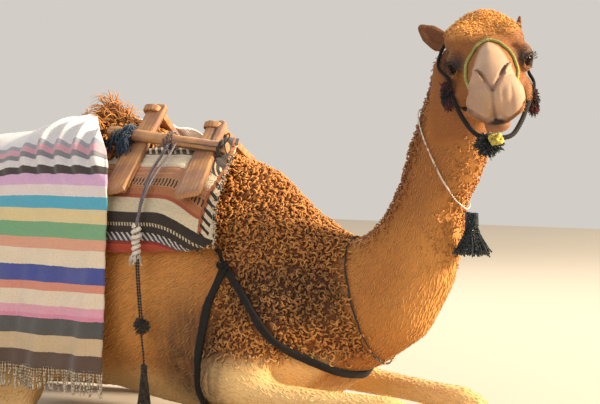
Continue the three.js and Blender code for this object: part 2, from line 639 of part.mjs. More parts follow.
// The tassel at the front of the neck: a bound knob over a skirt of yarn.
const TASSEL = { at: [726, -36, 716], knob: 23, skirt: 56, length: 130 };
const lathe = (profile, [x, y, z], segments = 10) =>
  solid(
    new THREE.LatheGeometry(profile.map(([r, h]) => new THREE.Vector2(r, h)), segments)
      .rotateX(Math.PI / 2)
      .translate(x, y, z),
  );
function yarnTassel({ at, knob, skirt, length }) {
  const profile = [
    [0, -length],
    [skirt * 0.85, -length],
    [skirt, -length * 0.82],
    [knob * 1.25, -length * 0.32],
    [knob * 0.8, -length * 0.25],
    [knob, -length * 0.14],
    [knob * 0.7, 0],
    [0, 0],
  ];
  return lathe(profile, at);
}
const neckRoom = neckWith(GAP);
const tassel = main(cut(yarnTassel(TASSEL), neckRoom, band(neckWith, NECK_STRING, STRING_THICK + GAP)));

// ---------------------------------------------------------------- halter, in the head's own frame
const HALTER_THICK = 8;
const NOSEBAND = { at: [66, 0, 0], facing: [0.95, 0, 0.31], width: 9 };
const HEADSTALL = { at: [-100, 0, 20], facing: [0.83, 0, 0.56], width: 18 };
const JAW_STRAP = {
  radius: 7,
  points: [
    [-24, -112, -82],
    [20, -104, -108],
    [62, -86, -152],
    [100, -61, -189],
    [122, -30, -206],
    [124, 4, -210],
    [102, 37, -204],
    [62, 64, -172],
    [20, 84, -136],
    [-20, 96, -116],
  ],
};
const CHEEK_POMS = { right: [-26, -124, -75], left: [-26, 102, -112] };
const POM_RADII = [22, 21, 41];
const CHIN_WOOL = { at: [112, -28, -224], radii: [30, 34, 30] };
const CHIN_KNOT = { at: [152, -8, -211], radii: [16, 22, 18] };
const ball = ({ at, radii }, grow = 0) => ellipsoid(at, radii, [0, 0, 0], [8, 6], grow);
const pom = (at, grow = 0) => ball({ at, radii: POM_RADII }, grow);
const pomRoom = join(...Object.values(CHEEK_POMS).map((at) => pom(at, GAP)));
const jawRope = (grow) => tube(JAW_STRAP.points, JAW_STRAP.radius + grow, { sides: 6, steps: 12 });
const faceRoom = headWith(GAP);
const earRoom = join(...Object.values(EARS).map((place) => ear(place)));
const noseband = band(headWith, NOSEBAND, HALTER_THICK);
const nosebandRoom = band(headWith, { ...NOSEBAND, width: NOSEBAND.width + 2 * GAP }, HALTER_THICK + GAP);
const halter = {
  noseband: [cut(noseband, jawRope(GAP), ball(CHIN_KNOT, GAP), ball(CHIN_WOOL, GAP)), GREEN_ROPE],
  headstall: [cut(band(headWith, HEADSTALL, HALTER_THICK), pomRoom, earRoom, jawRope(GAP)), BLACK_FELT],
  jaw_strap: [cut(jawRope(0), faceRoom), BLACK_FELT],
  ...Object.fromEntries(
    Object.entries(CHEEK_POMS).map(([side, at]) => [
      `cheek_pom_${side}`,
      [cut(pom(at), faceRoom, jawRope(GAP)), RED_YARN],
    ]),
  ),
  chin_knot: [cut(ball(CHIN_KNOT), faceRoom, jawRope(GAP)), GREEN_ROPE],
  chin_wool: [cut(ball(CHIN_WOOL), faceRoom, jawRope(GAP), ball(CHIN_KNOT, GAP)), NAVY_YARN],
};

// ---------------------------------------------------------------- rope and string below the right pole
const HANGING_ROPE = {
  radius: 5,
  steps: 9,
  points: [
    [-232, -180, 902],
    [-231, -204, 880],
    [-229, -234, 856],
    [-226, -274, 822],
    [-221, -312, 778],
    [-215, -344, 730],
    [-209, -368, 682],
    [-207, -376, 655],
  ],
};
const HANGING_STRING = {
  radius: 4,
  steps: 12,
  points: [
    [-205, -382, 578],
    [-205, -381, 540],
    [-206, -374, 480],
    [-208, -364, 420],
    [-208, -357, 365],
    [-206, -352, 320],
    [-203, -348, 270],
    [-202, -347, 228],
  ],
};
const ROPE_KNOT = { at: [-206, -380, 617], radii: [17, 14, 50] };
const STRING_POM = { at: [-202, -358, 360], radii: [24, 22, 24] };
const STRING_TASSEL = { at: [-202, -347, 244], knob: 12, skirt: 22, length: 128 };
const hanging = ({ points, radius, steps }, grow = 0) => tube(points, radius + grow, { sides: 6, steps });
const ropeRoom = hanging(HANGING_ROPE, GAP);
const stringRoom = hanging(HANGING_STRING, GAP);

const group = new THREE.Group();

function add(name, body, material) {
  const mesh = body.asOriginal().simplify(FACET).getMesh();
  const geometry = new THREE.BufferGeometry();
  const count = mesh.vertProperties.length / mesh.numProp;
  const position = new Float32Array(count * 3);
  for (let i = 0; i < count; i++) {
    position.set(mesh.vertProperties.subarray(i * mesh.numProp, i * mesh.numProp + 3), i * 3);
  }
  geometry.setAttribute("position", new THREE.BufferAttribute(position, 3));
  geometry.setIndex(new THREE.BufferAttribute(mesh.triVerts, 1));
  geometry.computeVertexNormals();
  const made = new THREE.Mesh(geometry, material);
  made.name = name;
  group.add(made);
}

add("trunk", trunk, COAT);
add("hump", main(cut(hump, boardRoom, poleRoom)), WOOL);
add("neck", neck, COAT);
add("head", head, MUZZLE);
add("tail", tail, WOOL);
add("breast_pad", breastPad, PAD_SKIN);
["right", "left"].forEach((name, i) => {
  const [fore, hind] = [foreleg, hindleg].map((leg) => Object.entries(leg(i ? 1 : -1)));
  add(`eye_${name}`, eyes[i], EYE);
  add(`ear_${name}`, ears[i], COAT);
  fore.forEach(([part, made]) => add(`foreleg_${name}_${part}`, made, PALE_COAT));
  hind.forEach(([part, made]) => add(`hindleg_${name}_${part}`, made, COAT));
});
add("girth", girth, BLACK_FELT);
add("breast_strap", breastStrap, BLACK_FELT);
add("neck_cord", neckCord, BLACK_FELT);
add("neck_string", neckString, WHITE_YARN);
add("neck_tassel", tassel, NAVY_YARN);
Object.entries(halter).forEach(([name, [made, material]]) => {
  add(name, main(cut(onHead(made), neckRoom)), material);
});
add("hanging_rope", hanging(HANGING_ROPE), GREY_ROPE);
add("rope_knot", cut(ball(ROPE_KNOT), ropeRoom, stringRoom), WHITE_YARN);
add("hanging_string", hanging(HANGING_STRING), BLACK_FELT);
add("string_pom", main(cut(ball(STRING_POM), stringRoom)), NAVY_YARN);
add("string_tassel", cut(yarnTassel(STRING_TASSEL), stringRoom), NAVY_YARN);
add("saddle_pad", pad, WOVEN);
add("rear_cushion", cushion, WOVEN);
add("blanket", blanket, STRIPED);
Object.keys(POLES).forEach((name, i) => add(`saddle_pole_${name}`, main(poles[i]), WOOD));
Object.entries(boards).forEach(([name, [right, left]]) => {
  add(`saddle_board_${name}_right`, right, WOOD);
  add(`saddle_board_${name}_left`, left, WOOD);
});

export default group;
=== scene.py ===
"""A life-size dromedary camel in riding gear, couched, with its head turned towards the viewer.

The finished surfaces are built around the frame's solids. Metres, +Z up, +X the way the trunk faces, +Y the
animal's left. The head has a frame of its own, in millimetres from the point between the eyes: X forward,
Y to its left, Z up.
"""
import json
import math

import bmesh
import bpy
import numpy as np
import openvdb
from mathutils import Euler, Matrix, Vector

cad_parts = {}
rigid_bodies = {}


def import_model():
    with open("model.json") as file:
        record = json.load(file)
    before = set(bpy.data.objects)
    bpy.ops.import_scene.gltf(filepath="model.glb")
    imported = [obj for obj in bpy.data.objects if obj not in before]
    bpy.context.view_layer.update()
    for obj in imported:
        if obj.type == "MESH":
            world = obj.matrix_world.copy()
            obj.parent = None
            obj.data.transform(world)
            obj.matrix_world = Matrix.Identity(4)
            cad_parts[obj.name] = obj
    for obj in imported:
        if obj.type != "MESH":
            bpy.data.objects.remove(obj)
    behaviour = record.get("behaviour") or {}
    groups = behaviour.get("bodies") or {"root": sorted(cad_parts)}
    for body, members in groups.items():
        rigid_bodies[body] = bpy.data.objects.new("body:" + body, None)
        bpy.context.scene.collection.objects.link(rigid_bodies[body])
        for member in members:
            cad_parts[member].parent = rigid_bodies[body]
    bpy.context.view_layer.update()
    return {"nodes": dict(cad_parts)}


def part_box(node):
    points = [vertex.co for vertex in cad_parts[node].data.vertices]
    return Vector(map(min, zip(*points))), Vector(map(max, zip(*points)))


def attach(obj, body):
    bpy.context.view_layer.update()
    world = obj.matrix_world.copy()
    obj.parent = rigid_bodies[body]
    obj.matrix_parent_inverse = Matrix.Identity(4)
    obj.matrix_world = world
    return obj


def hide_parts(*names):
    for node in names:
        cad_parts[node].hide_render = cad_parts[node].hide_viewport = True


bl_info = {
    "name": "Couched dromedary",
    "version": (1, 0, 0),
    "blender": (4, 5, 0),
    "location": "View3D > Sidebar > Camel",
    "description": "Builds a couched dromedary camel in riding gear",
    "category": "Add Mesh",
}

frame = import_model()

# ---------------------------------------------------------------- sizes shared by several pieces
HEAD_AT = np.array([0.846, -0.197, 1.134])
HEAD_TURN = Matrix.Rotation(math.radians(-68), 3, "Z") @ Matrix.Rotation(math.radians(6.5), 3, "X")
HEAD_AXES = np.array(HEAD_TURN)  # its columns are the head's forward, left and up
EARS = {  # the root of each ear, and the way it points
    "right": (np.array([-145, -106, 56]), (-0.13, -0.73, 0.67)),
    "left": (np.array([-160, 74, 18]), (-0.13, 0.22, 0.965)),
}
EYE_AT = {"right": (4, -92, -2), "left": (4, 92, -2)}
EYE_RADIUS = 20
MUZZLE_FRONT = 206  # paths drawn on the muzzle's front never fall further back than this
NECK_SEAM = 0.935  # height at which the coarse and the fine part of the skin are sewn together
NECK_SEAM_FROM = 0.3  # the seam only crosses what is ahead of this
BODY_BOX = (-1.27, -0.47, -0.05), (1.0, 0.47, 1.16)  # holds the body up to the seam
SKIN_GAP = 0.0012  # how far the skin stays above the floor
FLOOR_GAP = 0.002  # how far the locks' tips stay above it
CLAY_REACH = 0.034  # how far from the head's surface it can be modelled
LEAF_SIZE = 0.003  # how much of the bake's map a lock takes up

LEGS = [
    f"{end}leg_{side}_{part}"
    for side in ("right", "left")
    for end, parts in (
        ("fore", ("forearm", "cannon", "foot")),
        ("hind", ("thigh", "gaskin", "cannon", "foot")),
    )
    for part in parts
]
FLESH = ["trunk", "hump", "neck", "head", "ear_right", "ear_left", "tail", "breast_pad", *LEGS]
TORSO = ["trunk", "hump", "neck"]
RUMP = (-0.7, 0, 0.45)  # a place inside the body that the blanket lies round
COVERS = ["saddle_pad", "blanket", "rear_cushion", "girth", "breast_strap"]


# ---------------------------------------------------------------- small helpers
def linear(code):
    """An sRGB hex colour as linear RGBA."""
    parts = [int(code[i : i + 2], 16) / 255 for i in (1, 3, 5)]
    return (*[c / 12.92 if c <= 0.04045 else ((c + 0.055) / 1.055) ** 2.4 for c in parts], 1.0)


def feed(node, inputs):
    """Gives each input a value, a hex colour, a socket, or a node whose first open output feeds it."""
    for key, value in inputs.items():
        if isinstance(value, bpy.types.Node):
            value = next(socket for socket in value.outputs if socket.enabled)
        if isinstance(value, bpy.types.NodeSocket):
            node.id_data.links.new(value, node.inputs[key])
        else:
            is_colour = isinstance(value, str) and value.startswith("#")
            node.inputs[key].default_value = linear(value) if is_colour else value
    return node


def add(tree, kind, inputs=None, **settings):
    """Adds a node with its settings and links."""
    node = tree.nodes.new(kind)
    for name, value in settings.items():
        setattr(node, name, value)
    return feed(node, inputs or {})


def smooth(value, low, high):
    """0 below low, 1 above high, and a smooth rise between them."""
    t = np.clip((value - low) / (high - low), 0, 1)
    return t * t * (3 - 2 * t)


def unit(vectors):
    return vectors / np.maximum(np.linalg.norm(vectors, axis=-1, keepdims=True), 1e-9)


def to_head(points):
    """World metres to the head's millimetres."""
    return (points - HEAD_AT) @ HEAD_AXES * 1000


def from_head(points):
    return HEAD_AT + np.asarray(points, float) / 1000 @ HEAD_AXES.T


def spline(points, count):
    """A smooth open curve through points, evenly spaced along its length."""
    knots = np.asarray(points, float)
    padded = np.vstack([2 * knots[0] - knots[1], knots, 2 * knots[-1] - knots[-2]])
    t = np.linspace(0, len(knots) - 1, max(count * 4, 64))
    i = np.minimum(t.astype(int), len(knots) - 2)
    f = (t - i)[:, None]
    a, b, c, d = (padded[i + k] for k in range(4))
    curve = 0.5 * (2 * b + (c - a) * f + (2 * a - 5 * b + 4 * c - d) * f**2 + (3 * b - a - 3 * c + d) * f**3)
    travelled = np.concatenate([[0], np.cumsum(np.linalg.norm(np.diff(curve, axis=0), axis=1))])
    even = np.linspace(0, travelled[-1], count)
    return np.stack([np.interp(even, travelled, curve[:, k]) for k in range(3)], axis=1)


def link(thing):
    bpy.context.scene.collection.objects.link(thing)
    return thing


def new_piece(name, points, faces, material=None):
    """A mesh object in the scene."""
    mesh = bpy.data.meshes.new(name)
    mesh.from_pydata(np.asarray(points).tolist(), [], faces if isinstance(faces, list) else faces.tolist())
    mesh.shade_smooth()
    piece = link(bpy.data.objects.new(name, mesh))
    if material:
        mesh.materials.append(material)
    return piece


def read(collection, key, width=1, kind=np.float32):
    """One property of every element of a collection, as an array."""
    values = np.empty(len(collection) * width, kind)
    collection.foreach_get(key, values)
    return values.reshape(-1, width) if width > 1 else values


def points_of(piece):
    return read(piece.data.vertices, "co", 3)


def normals_of(piece):
    return read(piece.data.vertex_normals, "vector", 3)


def mask_of(piece, name):
    return read(piece.data.attributes[name].data, "value")


def move_points(piece, points):
    piece.data.vertices.foreach_set("co", np.asarray(points, np.float32).ravel())
    piece.data.update()


def store(piece, name, values, kind="FLOAT"):
    """Keeps one value for each point of a piece, as a named attribute."""
    attribute = piece.data.attributes.get(name) or piece.data.attributes.new(name, kind, "POINT")
    field = "vector" if kind == "FLOAT_VECTOR" else "value"
    attribute.data.foreach_set(field, np.asarray(values, np.float32).ravel())


MADE = "_made"  # what a piece that stands for one node has after that node's name


def finish(piece, slot, *nodes):
    """Rides the piece on the still body and hides the solids that it stands for; the slot is not used."""
    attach(piece, "root")
    if nodes:
        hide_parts(*nodes)
    return piece


def stand_for_nodes(pieces):
    """Finishes pieces, listed under their slots, that each stand for the node whose name they have."""
    for slot, each in pieces.items():
        for piece in each:
            finish(piece, slot, piece.name.removesuffix(MADE))


def triangles(node):
    """Corner points and triangles of a solid of the frame."""
    mesh = frame["nodes"][node].data
    mesh.calc_loop_triangles()
    return points_of(frame["nodes"][node]), read(mesh.loop_triangles, "vertices", 3, np.int32)


def reworked(piece, work):
    """A piece whose mesh a function of its bmesh has changed."""
    mesh = bmesh.new()
    mesh.from_mesh(piece.data)
    work(mesh)
    mesh.to_mesh(piece.data)
    mesh.free()
    return piece


def copy_solid(node, name):
    """A copy of a solid with its doubled points merged."""
    piece = frame["nodes"][node].copy()
    piece.data = piece.data.copy()
    piece.name = piece.data.name = name
    piece.parent = None
    for key in list(piece.keys()):
        del piece[key]
    piece.data.materials.clear()
    link(piece)
    return reworked(piece, lambda mesh: bmesh.ops.remove_doubles(mesh, verts=mesh.verts, dist=1e-5))


def join_pieces(name, pieces):
    """Several mesh objects as one."""
    with bpy.context.temp_override(active_object=pieces[0], selected_editable_objects=pieces):
        bpy.ops.object.join()
    pieces[0].name = pieces[0].data.name = name
    return pieces[0]


def apply_modifiers(piece):
    """Bakes the live modifiers into the mesh and takes them off."""
    depsgraph = bpy.context.evaluated_depsgraph_get()
    mesh = bpy.data.meshes.new_from_object(piece.evaluated_get(depsgraph))
    piece.modifiers.clear()
    old, piece.data = piece.data, mesh
    mesh.name = piece.name
    bpy.data.meshes.remove(old)
    return piece


# ---------------------------------------------------------------- distance fields
class Field:
    """Signed distances in metres on a dense grid of points, negative inside."""

    def __init__(self, low, high, step, band=6):
        self.low, self.step, self.band = np.array(low), step, band
        self.shape = tuple(np.ceil((np.array(high) - self.low) / step).astype(int) + 1)

    def of_triangles(self, points, index):
        grid = openvdb.FloatGrid.createLevelSetFromPolygons(
            ((points - self.low) / self.step).astype(np.float32),
            triangles=index.astype(np.uint32),
            halfWidth=self.band,
        )
        values = np.full(self.shape, float(self.band), np.float32)
        grid.copyToArray(values)
        return values * self.step

    def of_nodes(self, names):
        return np.minimum.reduce([self.of_triangles(*triangles(name)) for name in names])

    def whole(self, values, closing=0.0008):
        """The distances measured again from outside, so that the thin cuts between solids are closed."""
        points, quads = self.surface(values - closing)
        index = np.vstack([quads[:, (0, 1, 2)], quads[:, (0, 2, 3)]])
        return self.of_triangles(points, index) + closing

    def axes(self):
        return [self.low[k] + self.step * np.arange(self.shape[k]) for k in range(3)]

    def sample(self, values, points):
        """Values between the grid's points."""
        place = (np.asarray(points) - self.low) / self.step
        base = np.clip(np.floor(place).astype(int), 0, np.array(self.shape) - 2)
        part = np.clip(place - base, 0, 1)
        total = 0
        for corner in np.ndindex(2, 2, 2):
            weight = np.prod(np.where(corner, part, 1 - part), axis=1)
            i, j, k = (base + corner).T
            total = total + weight * values[i, j, k]
        return total

    def surface(self, values):
        """The surface where the values are zero, as points and quads."""
        grid = openvdb.FloatGrid(float(self.band))
        grid.copyFromArray((values / self.step).astype(np.float32))
        points, quads = grid.convertToQuads(isovalue=0)
        return points * self.step + self.low, quads.astype(np.int64)


def blurred(values, sigma):
    """A Gaussian blur, sigma in grid steps."""
    reach = int(math.ceil(2.5 * sigma))
    kernel = np.exp(-0.5 * (np.arange(-reach, reach + 1) / sigma) ** 2)
    kernel = (kernel / kernel.sum()).astype(np.float32)
    for axis in range(3):
        padded = np.pad(values, [(reach, reach) if a == axis else (0, 0) for a in range(3)], mode="edge")
        length = values.shape[axis]
        values = sum(w * padded.take(range(k, k + length), axis) for k, w in enumerate(kernel))
    return values


def blend_union(a, b, reach):
    """The union of two fields with a fillet."""
    h = np.clip(0.5 + 0.5 * (b - a) / reach, 0, 1)
    return b + (a - b) * h - reach * h * (1 - h)


# ---------------------------------------------------------------- markings: wool, bare skin, colours, and painted light and shade
NECK_CORD_PLANE = (np.array([0.384, 0.0, 0.455]), unit(np.array([0.96, 0.0, 0.28])))


def ball_mask(points, centre, radii, soft=0.35):
    """1 within an ellipsoid, fading out over its rim."""
    d = np.linalg.norm((points - np.asarray(centre)) / np.asarray(radii), axis=1)
    return 1 - smooth(d, 1 - soft, 1 + soft)


def pair_mask(points, centre, radii, soft=0.35):
    """1 within either of two ellipsoids, one on each side of the middle."""
    x, y, z = centre
    return np.maximum(*[ball_mask(points, (x, y * side, z), radii, soft) for side in (-1, 1)])


def on_ears(h):
    """1 within reach of an ear."""
    near = []
    for root, way in EARS.values():
        way = np.asarray(way)
        near.append(ball_mask(h, root + way * 66, (62, 62, 70), 0.2) * smooth((h - root) @ way, 4, 20))
    return np.maximum(*near)


TAIL = [
    (-1.085, 0.0, 0.600, 0.042), (-1.160, 0.006, 0.540, 0.026), (-1.193, 0.015, 0.440, 0.0165),
    (-1.201, 0.025, 0.330, 0.014), (-1.197, 0.033, 0.220, 0.013), (-1.193, 0.037, 0.130, 0.012),
]
NOSTRILS = {
    "left": [(44, -22), (29, -41), (11, -66), (1, -86)],
    "right": [(-38, -33), (-24, -50), (-13, -70), (-4, -87)],
}
LIP_EDGES = {
    "right": [(-10, -167), (-25, -160), (-44, -148), (-62, -133), (-74, -114)],
    "left": [(10, -169), (22, -166), (38, -159), (57, -147), (70, -130)],
}
CLEFT = [(-2, -80), (-4, -96), (-5, -114), (-5, -132), (-4, -152), (-2, -168)]


def along_lines(h, lines, radii):
    """1 near lines given as (left, up) on the muzzle's front, fading out from them."""
    near = np.zeros(len(h))
    some = (h[:, 0] > 150) & (h[:, 2] < 10)
    for line in lines:
        for left, up in spline([(p[0], p[1], 0) for p in line], 12)[:, :2]:
            near[some] = np.maximum(near[some], ball_mask(h[some], (225, left, up), radii, 0.6))
    return near


def markings(points):
    """Named masks from 0 to 1 for each point of the skin or root of the coat."""
    x, y, z = points.T
    h = to_head(points)
    forward, left, up = h.T
    on_head = smooth(forward, -165, -125) * smooth(up, -230, -190)
    ears = on_ears(h)
    # neck and trunk
    ahead_cord = (points - NECK_CORD_PLANE[0]) @ NECK_CORD_PLANE[1]
    neck = smooth(ahead_cord, -0.01, 0.02) * (1 - on_head)
    crest_line = np.interp(x, [0.3, 0.42, 0.5, 0.55, 0.6, 0.66], [0.65, 0.66, 0.73, 0.84, 0.97, 1.12])
    crest = neck * smooth(z - crest_line, -0.10, 0.03) * (1 - smooth(x, 0.74, 0.8))
    throat_line = np.interp(z, [0.35, 0.6, 0.75, 0.9, 1.0], [0.6, 0.66, 0.72, 0.8, 0.82])
    throat = neck * smooth(x - throat_line, -0.10, 0.0) * smooth(z, 0.5, 0.7) * (1 - smooth(forward, 20, 70))
    wool_from = np.interp(z, [0.15, 0.5, 0.57, 0.62, 0.75], [-0.085, 0.02, 0.0, -0.05, -0.3])
    shoulder = smooth(x - wool_from, 0.0, 0.03) * smooth(z, 0.245, 0.315)
    shoulder *= 1 - smooth(ahead_cord, -0.05, 0.015)
    hump = smooth(z, 0.70, 0.79) * (1 - smooth(ahead_cord, -0.02, 0.02)) * smooth(x, -1.02, -0.9)
    # painted light on the flank, where the pad and the blanket shade it
    flank = 0.75 * smooth(x, -0.75, -0.6) * (1 - smooth(x, -0.1, 0.0))
    flank *= smooth(z, 0.2, 0.28) * (1 - smooth(z, 0.6, 0.7))
    # painted glow on the lower shoulder wool, as if sunlit
    wool_painted_glow = 0.85 * pair_mask(points, (0.17, 0.3, 0.325), (0.2, 0.25, 0.065), 0.4)
    # painted shade deep in the shoulder wool, above the lower curls
    wool_painted_shade = 0.8 * pair_mask(points, (0.22, 0.25, 0.465), (0.19, 0.3, 0.09), 0.6)
    sweat = pair_mask(points, (-0.075, 0.31, 0.21), (0.12, 0.22, 0.24), 0.55)
    # legs, soles and the breast pad
    knees = [ball_mask(points, at, (0.1, 0.1, 0.1)) for at in ((0.60, -0.18, 0.10), (0.66, 0.18, 0.08))]
    arm = smooth(x, -0.12, 0.0) * (1 - smooth(z, 0.24, 0.31)) * smooth(np.abs(y), 0.1, 0.15)
    under = (1 - smooth(z, 0.12, 0.26)) * (1 - arm)
    sole = (1 - smooth(z, 0.0, 0.02)) * 0.7
    pad = ball_mask(points, (0, 0, 0.03), (0.115, 0.09, 0.075), 0.12)
    # nose and mouth
    muzzle = smooth(forward + 0.25 * up, 45, 120) * (1 - smooth(np.abs(left), 88, 110)) * on_head
    half = np.interp(up, [-110, -66, -30, 11, 26, 44, 52], [86, 66, 51, 35, 27, 12, 0])
    lip = np.interp(np.abs(left), [0, 25, 44, 62, 74, 90], [-168, -161, -149, -134, -114, -104])
    nose = muzzle * (1 - smooth(np.abs(left - 3) - half, -7, 7)) * (1 - 0.85 * smooth(lip - up, 0, 9))
    mouth = ball_mask(h, (230, 0, -162), (70, 62, 26), 0.25)
    # painted shade along the edges of the lips, in the nostrils and the cleft, and in the middle of the mouth
    crevice = 0.24 * along_lines(h, LIP_EDGES.values(), (60, 4, 3.4))
    crevice += 0.75 * along_lines(h, NOSTRILS.values(), (60, 4.2, 4.6))
    # painted shade on the near lobe of the upper lip, the side away from the light
    crevice += 0.24 * ball_mask(h, (225, -46, -112), (70, 36, 48), 0.5)
    crevice += 0.55 * along_lines(h, [CLEFT], (60, 4.5, 8)) + ball_mask(h, (240, 1, -168), (40, 20, 9), 0.4)
    # round the eyes
    eye_x, eye_y, eye_z = EYE_AT["left"]
    eyes = pair_mask(h, EYE_AT["left"], (34, 30, 22), 0.25)
    lids = pair_mask(h, eye_axes(1)[0], (37, 35, 28), 0.2)
    # painted shade in the hollow round each eye, under the brow
    hollow = pair_mask(h, (eye_x + 4, eye_y, eye_z + 4), (44, 30, 31), 0.5)
    # painted shade at the temples
    temple = pair_mask(h, (-72, 104, 10), (74, 34, 52), 0.5)
    forehead = on_head * smooth(up + 0.35 * forward, 58, 96) * (1 - smooth(forward, 5, 40))
    ear_ends = [smooth((h - root) @ unit(np.array(way)), 12, 30) for root, way in EARS.values()]
    masks = {
        "wool": np.maximum(shoulder, hump) * (1 - ears),
        "crest": np.maximum(crest, throat * 0.8) * (1 - ears),
        "throat": throat * (1 - ears),
        "pale": np.maximum.reduce([arm, *knees, under * 0.8]),
        # painted sunlight: the front of the neck, the top of the hump, the flank and the lower shoulder wool
        # are lightened as if the sun fell on them
        "gold": np.maximum.reduce(
            [smooth(x - throat_line, -0.17, -0.02) * neck, hump * 0.6, flank, wool_painted_glow * shoulder]
        ),
        "nape": neck * smooth(z, 0.56, 0.82) * (1 - 0.75 * throat),
        # painted shade at the temples, in the eye hollows and deep in the shoulder wool; the patches behind
        # the girth are sweat stains
        "dark": np.maximum.reduce([temple * on_head, hollow * on_head * 0.85, sweat, wool_painted_shade * shoulder]),
        # painted shade in the creases of the face, in the eye hollows and on the lids
        "crevice": np.maximum.reduce([crevice, hollow * 0.5, lids]) * on_head,
        "bare": np.maximum.reduce([nose * 0.92, mouth * 0.92, muzzle * 0.3, eyes * on_head, sole, pad]),
        "nose": nose,
        "forehead": forehead * (1 - ears),
        "head": np.maximum(on_head, ears),
        "ear": np.maximum(*ear_ends) * ears,
        "leg": np.maximum(arm, 1 - smooth(z, 0.16, 0.3)),
        "tail": smooth(-x, 1.12, 1.17) * (1 - smooth(z, 0.50, 0.56)) * (1 - smooth(np.abs(y), 0.09, 0.12)),
        "tuft": ball_mask(points, (-0.64, 0.0, 1.0), (0.13, 0.16, 0.12), 0.35),
    }
    return {key: np.clip(mask, 0, 1) for key, mask in masks.items()}


def coat_depth(marks):
    """How far the skin lies below the coat's tips, in metres."""
    depth = 0.006 + 0.011 * marks["wool"] + 0.006 * marks["crest"] - 0.0015 * marks["head"]
    return depth * (1 - 0.9 * marks["bare"])


def lie_of_hair(points):
    """The way the hair lies at each point, before it is laid along the skin."""
    x, y, z = points.T
    h = to_head(points)
    ears = on_ears(h)
    on_head = np.maximum(smooth(h[:, 0], -165, -125), ears)
    neck = smooth((points - NECK_CORD_PLANE[0]) @ NECK_CORD_PLANE[1], -0.05, 0.1)
    fore = smooth(x, -0.1, 0.02) * (1 - smooth(z, 0.24, 0.31)) * smooth(np.abs(y), 0.1, 0.15)
    hind = (1 - smooth(x, -0.66, -0.58)) * (1 - smooth(z, 0.2, 0.4)) * smooth(np.abs(y), 0.18, 0.25)
    tail = smooth(-x, 1.10, 1.16) * (1 - smooth(z, 0.54, 0.6))
    shin = 1 - smooth(z, 0.06, 0.1)
    blend = lambda way, share, goal: way * (1 - share[:, None]) + share[:, None] * np.asarray(goal)
    face = np.stack([-1.0 + 0 * x, 0.5 * np.sign(h[:, 1]), -0.45 + 0 * x], 1) @ HEAD_AXES.T
    ear = np.where(h[:, 1:2] < 0, np.array(EARS["right"][1]), np.array(EARS["left"][1]))
    way = np.array([-0.75, 0.0, -0.66]) + np.stack([0 * x, 0.15 * np.sign(y), 0 * x], 1)
    for share, goal in (
        (neck, (-0.30, 0.0, -0.95)),
        (fore, blend(np.array([0.9, 0.0, -0.4]), shin, (-1.0, 0.0, -0.1))),
        (hind, blend(np.array([-0.9, 0.0, -0.4]), shin, (1.0, 0.0, -0.1))),
        (tail, (0.0, 0.0, -1.0)),
        (on_head, blend(face, ears, ear @ HEAD_AXES.T)),
    ):
        way = blend(way, share, goal)
    return unit(way)


